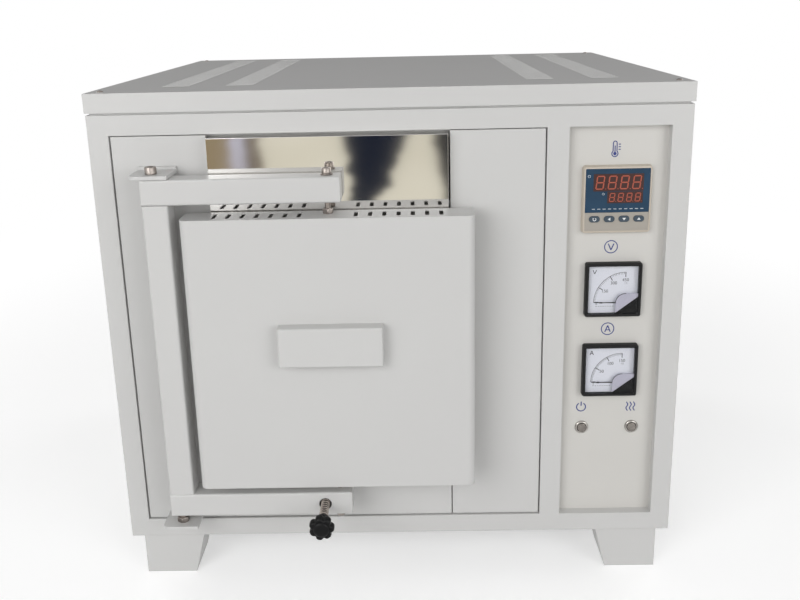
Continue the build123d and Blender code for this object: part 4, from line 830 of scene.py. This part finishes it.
dial_paint = ink("dial paint", "f0f2fb", 0.6)
dial_ink = ink("dial ink", "2c2d33")
hub_cover = ink("coil cover", "c6c4d4", 0.4)
clear = start_finish("clear cover")
end_finish(clear, {"Base Color": tint("202326"), "Roughness": 0.06, "Alpha": 0.06,
                   "Specular IOR Level": 0.3})
needle_black = ink("needle black", "131316", 0.4)
dial_out = panel_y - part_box("meter_dials")[0].y
coat(dial_paint, "meter_dials")
coat(clear, "meter_lenses")
hub = (0.018, -0.0195)
frame_rim, scale_radius, figure_radius, figure_size = 0.0046, 0.0445, 0.0328, 0.0064
barrel_radius, broken_edge, cover_radius = 0.031, 0.001, 0.0140
prints, covers = [], []
for meter, legend, numbers, fine in (
        ("voltmeter", [volt_mark], ("0", "150", "300", "450"), 31),
        ("ammeter", [amp_legs, amp_bar], ("0", "50", "100", "150"), 46)):
    case_low, case_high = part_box(meter + "_case")
    z = (case_low.z + case_high.z) / 2
    half = (case_high.z - case_low.z) / 2
    out = panel_y - case_low.y
    opening = half - frame_rim
    rows = [(0.0, 0.0), (0.0, out - 0.0030), (0.0006, out - 0.0010), (0.0020, out)]
    outlines = [outline_box(half - inset, half - inset, 0.0034 - inset) for inset, _ in rows]
    heights = [height for _, height in rows]
    for inset, height in ((-0.0008, out - 0.0002), (0, out - 0.0010), (0, 0.0)):
        outlines.append(outline_box(opening - inset, opening - inset, 0.0010))
        heights.append(height)
    back = [on_panel(outlines, heights, panel_x, z, ring=True),
            prism(outline_box(opening + 0.0005, opening + 0.0005, 0.0005), -0.0005,
                  dial_out - 0.0009, (0, z))]
    barrel_end = case_high.y - panel_y
    barrel = [(barrel_radius, 0), (barrel_radius, barrel_end - broken_edge),
              (barrel_radius - broken_edge, barrel_end)]
    back.append(skin(turned(barrel, (panel_x, panel_y, z), RIGHT, UP, BACK, 64)))
    mask = [(opening, -opening), (opening, 0.025 - opening), (opening - 0.033, -opening)]
    back.append(prism(mask, 0.0062, out - 0.0022, (0, z)))
    piece(meter + "_frame", back, black_plastic, "cabinet", "black_plastic", meter + "_case")
    prints += scale_lines(scale_radius, hub, z, dial_out, fine, 4)
    for number, angle in zip(numbers[1:], (150, 120, 90)):
        prints.append(meter_figures(
            number, figure_size,
            hub[0] + figure_radius * math.cos(math.radians(angle)) * 1.02,
            z + hub[1] + figure_radius * math.sin(math.radians(angle)), dial_out))
    prints.append(meter_figures(numbers[0], 0.0042, -0.0225, z - 0.0225, dial_out))
    for path in legend:
        path = np.array(path) * 0.92 + np.array([-0.0262, 0.0260])
        prints += [stroke(path[i:i + 2], 0.0009, dial_out, dial_out + INK * (1 - 0.1 * i),
                          (0, z)) for i in range(len(path) - 1)]
    prints += [stroke(hub + np.array([(-x, -0.0062), (-x - 0.0016, -0.0062)]), 0.0007,
                      dial_out, dial_out + INK, (0, z)) for x in np.arange(0.016, 0.040, 0.0034)]
    prints.append(meter_figures("1.5", 0.0034, 0.0185, z + 0.0085, dial_out))
    cover = np.concatenate([arc(cover_radius, 90, 180, 20, hub),
                            [(hub[0] - cover_radius, -opening), (opening, -opening),
                             (opening, hub[1] + cover_radius)]])
    covers.append(prism(cover, 0.0074, 0.0084, (0, z)))
    prints.append(stroke(arc(0.0142, 88, 182, 20, hub), 0.0007, 0.0080, 0.0085, (0, z)))
    needle_low, needle_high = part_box(meter + "_needle")
    needle_out = panel_y - needle_low.y
    pivot_z = (needle_low.z + needle_high.z) / 2 - z
    tip = needle_low.x - panel_x
    upper_half = [(hub[0] + 0.0055, 0.0010), (tip + 0.012, 0.0005), (tip + 0.0100, 0.0013),
                  (tip + 0.0062, 0.0003), (tip, 0.00012)]
    blade = np.array(upper_half + [(x, -wide) for x, wide in upper_half[::-1]])
    hub_x, hub_z = panel_x + hub[0], z + pivot_z
    boss = [(0.0031, needle_out - 0.0008), (0.0031, needle_out - 0.0001), (0.0026, needle_out)]
    staff = [(0.0010, 0), (0.0010, needle_high.y - needle_low.y - 0.0008)]
    pointer = [prism(blade + (0, pivot_z), needle_out - 0.0006, needle_out, (0, z)),
               skin(turned(boss, (hub_x, panel_y, hub_z), RIGHT, UP, FRONT, 32)),
               skin(turned(staff, (hub_x, needle_low.y + 0.0008, hub_z), RIGHT, UP, BACK, 16))]
    piece(meter + "_pointer_blade", pointer, needle_black, meter + "_pointer",
          "needle_black", meter + "_needle")
piece("dial_print", prints, dial_ink, "cabinet", "dial_white")
piece("coil_covers", covers, hub_cover, "cabinet", "dial_white")


# Push buttons: two polished metal buttons with a rounded collar, held by a nut behind the panel,
# each with a slightly domed cap inside a groove.

polished = steel("polished collar", "d2cec8", 0.12, brushed=0.05)
cap_metal = steel("button cap metal", "a9a39c", 0.2, brushed=0.1)
stem, shoulder, tray_sheet = 0.0080, -0.0078, 0.0021
for name in ("power_button", "heating_button"):
    button_low, button_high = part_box(name + "_body")
    cap_low, cap_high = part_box(name + "_cap")
    x, z = (cap_low.x + cap_high.x) / 2, (cap_low.z + cap_high.z) / 2
    out = panel_y - button_low.y
    collar = [(0.0070, shoulder), (0.0070, out - 0.0008), (0.0073, out - 0.0002),
              (0.0079, out), (0.0088, out - 0.0002), (0.0096, out - 0.0008),
              (0.0100, out - 0.0018), (0.0100, 0.0), (stem, 0.0), (stem, shoulder)]
    barrel = [(stem, shoulder), (stem, -(button_high.y - panel_y))]
    ring = skin(turned(collar, (x, panel_y, z), RIGHT, UP, FRONT, 56), ring=True)
    tail = skin(turned(barrel, (x, panel_y, z), RIGHT, UP, FRONT, 40))
    lock = nut((x, panel_y + tray_sheet, z), BACK, flats=0.0195, height=0.0038, bore=stem)
    piece(name + "_collar", [ring, tail, lock], polished, "cabinet", "button_metal",
          name + "_body")
    cap_out = panel_y - cap_low.y
    cap = [(0.0065, -(cap_high.y - panel_y)), (0.0065, cap_out - 0.0010),
           (0.0062, cap_out - 0.0005), (0.0056, cap_out - 0.0003), (0.0046, cap_out - 0.0002),
           (0.0044, cap_out - 0.0005), (0.0040, cap_out - 0.0005), (0.0038, cap_out - 0.0001),
           (0.0020, cap_out), (0.0004, cap_out)]
    piece(name + "_face", [skin(turned(cap, (x, panel_y, z), RIGHT, UP, FRONT, 56))],
          cap_metal, name, "button_cap", name + "_cap")


# Electrical parts behind the panel: a transformer, a power module on a finned heat sink, a
# contactor on its rail, a terminal block, and a cable gland in the rear panel.

core = start_finish("transformer laminations")
trans_low, trans_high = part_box("transformer")
middle = (trans_low.y + trans_high.y) / 2
core_half, core_foot = 0.0285, 0.025
coils = (abs(place("Y") - middle) > core_half) * (place("Z") > trans_low.z + core_foot)
end_finish(core, {"Base Color": blend(coils, tint("3a3b3d"), tint("a5612f")),
                  "Metallic": 0.6, "Roughness": 0.45, "Normal": rounded(0.0008)})
coat(core, "transformer")
coat(steel("extruded aluminium", "c3c5c8", 0.32, brushed=0.2, stretch=(1, 1, 0.05)),
     "thyristor_module")
relay = start_finish("relay plastic")
end_finish(relay, {"Base Color": tint("5d6063"), "Roughness": 0.5, "Normal": rounded(0.0008)})
coat(relay, "contactor")
coat(black_plastic, "terminal_block")
gland_low, gland_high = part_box("cable_gland")
gland = (gland_low + gland_high) / 2
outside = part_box("rear_panel")[1].y
turn = np.linspace(0, 2 * np.pi, 120, endpoint=False)
ribs = 1 - 0.035 * (0.5 + 0.5 * np.cos(18 * turn))[:, None]
unit = outline_circle(1.0, 120)
reach = gland_high.y - outside
gland_flats, gland_bore, gland_thread = 0.0294, 0.007, 0.0125
flats, bore = outline_hex(gland_flats, 120), unit * gland_bore
rows = [(flats * 0.985, 0), (flats, 0.0006), (flats, 0.0054), (flats * 0.985, 0.0060),
        (unit * 0.0140, 0.0062), (unit * 0.0145 * ribs, 0.0070),
        (unit * 0.0145 * ribs, reach - 0.0040), (unit * 0.0128 * ribs, reach - 0.0012),
        (unit * 0.0112, reach), (bore, reach), (bore, 0)]
inside = outside - gland_low.y
thread = [(gland_bore, 0), (gland_thread, 0), (gland_thread, -inside), (gland_bore, -inside)]
gland_set = [
    skin(stand(*zip(*rows), (gland.x, outside, gland.z), RIGHT, UP, BACK), ring=True),
    skin(turned(thread, (gland.x, outside, gland.z), RIGHT, UP, BACK, 48), ring=True),
    nut((gland.x, outside - 0.0016, gland.z), FRONT, flats=gland_flats, height=0.0048,
        bore=0.0126),
]
piece("gland_set", gland_set, black_plastic, "cabinet", "black_plastic", "cable_gland")


# Studio: a plain white floor, soft lamps and the camera at the photograph's angle. Two cards
# stand where only reflections see them, as painted reflections: a dark one darkens the lid's
# top, and one painted with light and dark room shapes lies before the mirror.

studio = bpy.data.worlds.new("studio")
bpy.context.scene.world = studio
studio.use_nodes = True
studio.node_tree.nodes.clear()
Wire.tree = studio.node_tree


def background_rays():
    """One for the rays that see the plain background: camera, glossy and transmission."""
    rays = Wire.make("ShaderNodeLightPath").socket.node.outputs
    return (Wire(rays["Is Camera Ray"]) + Wire(rays["Is Glossy Ray"])
            + Wire(rays["Is Transmission Ray"])) > 0.5


ambient = 0.32
strength = ambient + background_rays() * (1 - ambient)
sky = Wire.make("ShaderNodeBackground", {}, {"Color": (1, 1, 1, 1), "Strength": strength})
Wire.make("ShaderNodeOutputWorld", {}, {"Surface": sky})


def sheet(name, corners, material, shadowless=False):
    """Flat stage sheet from its corners."""
    mesh = bpy.data.meshes.new(name)
    mesh.from_pydata(corners, [], [tuple(range(len(corners)))])
    mesh.materials.append(material)
    thing = bpy.data.objects.new(name, mesh)
    bpy.context.collection.objects.link(thing)
    if shadowless:
        thing.visible_camera = thing.visible_diffuse = thing.visible_shadow = False
        thing.visible_transmission = False
    return thing


floor_paint = start_finish("floor")
spread = Wire.make("ShaderNodeVectorMath", {"operation": "LENGTH"}, {0: place()}, output=1)
far = Wire.make("ShaderNodeMapRange", {"interpolation_type": "SMOOTHSTEP"},
                {"Value": spread, "From Min": 0.7, "From Max": 2.6, "To Min": 0.0,
                 "To Max": 1.0})
floor_grey, near_glow, far_glow = (0.78, 0.78, 0.78, 1), 0.42, 0.3
paint = Wire.make("ShaderNodeBsdfDiffuse", {}, {"Color": floor_grey})
shine = Wire.make("ShaderNodeEmission", {}, {"Color": (1, 1, 1, 1),
                                             "Strength": background_rays() * near_glow})
near_floor = Wire.make("ShaderNodeAddShader", {}, {0: paint, 1: shine})
glow_strength = far_glow + background_rays() * (1 - far_glow)
glow = Wire.make("ShaderNodeEmission", {}, {"Color": (1, 1, 1, 1), "Strength": glow_strength})
both = Wire.make("ShaderNodeMixShader", {}, {0: far, 1: near_floor, 2: glow})
Wire.make("ShaderNodeOutputMaterial", {}, {"Surface": both})
reach = 14.0
sheet("floor", [(-reach, -reach, 0), (reach, -reach, 0), (reach, reach, 0),
                (-reach, reach, 0)], floor_paint)


def lit_card(material, colour):
    """Closes a card's material with a plain glow of strength one."""
    shade = Wire.make("ShaderNodeEmission", {}, {"Color": colour, "Strength": 1.0})
    Wire.make("ShaderNodeOutputMaterial", {}, {"Surface": shade})
    return material


# A dark card that only reflections see: a painted dark reflection that darkens the lid's top.
dark_reflection_card = start_finish("dark card")
sheet("rear_card", [(-3.2, 2.6, 0.75), (3.2, 2.6, 0.75), (3.2, 3.4, 4.2), (-3.2, 3.4, 4.2)],
      lit_card(dark_reflection_card, (0.17, 0.165, 0.17, 1)), shadowless=True)

# Seen only in reflections, this card's light and dark shapes are a painted reflection for the
# mirror plate.
reflection_card = start_finish("room card")
card_middle, wobble = -3.5, 0.16
along = place("Y") - card_middle
across = place("X") + (noise(2.2, 3.0) - 0.5) * wobble


def beyond(line, start, slope):
    """Soft edge: 0 left of a slanting line over the floor and 1 right of it."""
    return Wire.make("ShaderNodeMapRange", {"interpolation_type": "SMOOTHSTEP"},
                     {"Value": line - (along * slope + start), "From Min": -0.02,
                      "From Max": 0.02})


clouds = noise(1.6, 2.0, (1.0, 0.5, 1.0))
painted_room_reflection = blend(clouds, tint("f4f0e2"), tint("dcd6c2"))
painted_room_reflection = blend(beyond(across, -0.277, 0.097) * (1 - beyond(across, -0.078, -0.061)), painted_room_reflection,
             tint("1a2030"))
for start, code in ((0.175, "2a2a2e"), (0.62, "e2ddcd")):
    painted_room_reflection = blend(beyond(across, start, 0.0), painted_room_reflection, tint(code))
for start, slope, code in ((-0.70, 0.19, "75695b"), (-0.80, 0.19, "cfcfe0"),
                           (-0.87, 0.207, "9c8c70"), (-1.35, 0.3, "e2ddcd")):
    painted_room_reflection = blend(1 - beyond(across, start, slope), painted_room_reflection, tint(code))
sheet("reflection_card", [(-4, -9, 0.004), (4, -9, 0.004), (4, -2.3, 0.004), (-4, -2.3, 0.004)],
      lit_card(reflection_card, painted_room_reflection), shadowless=True)


def lamp(name, location, size, power):
    """Square soft lamp that faces the middle of the furnace."""
    light = bpy.data.lights.new(name, "AREA")
    light.shape = "SQUARE"
    light.size = size
    light.energy = power
    thing = bpy.data.objects.new(name, light)
    thing.location = location
    facing = Vector((0, 0, 0.4)) - Vector(location)
    thing.rotation_euler = facing.to_track_quat("-Z", "Y").to_euler()
    bpy.context.collection.objects.link(thing)


lamp("front_left", (-1.5, -2.7, 1.35), 1.8, 42)
lamp("front_right", (1.9, -2.5, 1.15), 1.8, 30)
lamp("rear_left", (-2.6, 1.9, 1.2), 1.6, 26)
lamp("rear_right", (2.4, 2.2, 1.2), 1.6, 26)

camera_spot, lens, shift = (0.0291, -1.5059, 0.8468), 40.05, -0.07
yaw, pitch, roll = math.radians(0.85), math.radians(15.13), math.radians(1.28)
right = Vector((math.cos(yaw), math.sin(yaw), 0))
ahead = Vector((-math.sin(yaw) * math.cos(pitch), math.cos(yaw) * math.cos(pitch),
                -math.sin(pitch)))
below = ahead.cross(right)
tilted_right = math.cos(roll) * right + math.sin(roll) * below
tilted_below = -math.sin(roll) * right + math.cos(roll) * below
eye = bpy.data.cameras.new("camera")
eye.lens = lens
eye.shift_y = shift
camera = bpy.data.objects.new("camera", eye)
camera.matrix_world = Matrix.Translation(camera_spot) @ Matrix(
    (tilted_right, -tilted_below, -ahead)).transposed().to_4x4()
bpy.context.collection.objects.link(camera)
bpy.context.scene.camera = camera
bpy.context.scene.view_settings.view_transform = "Standard"
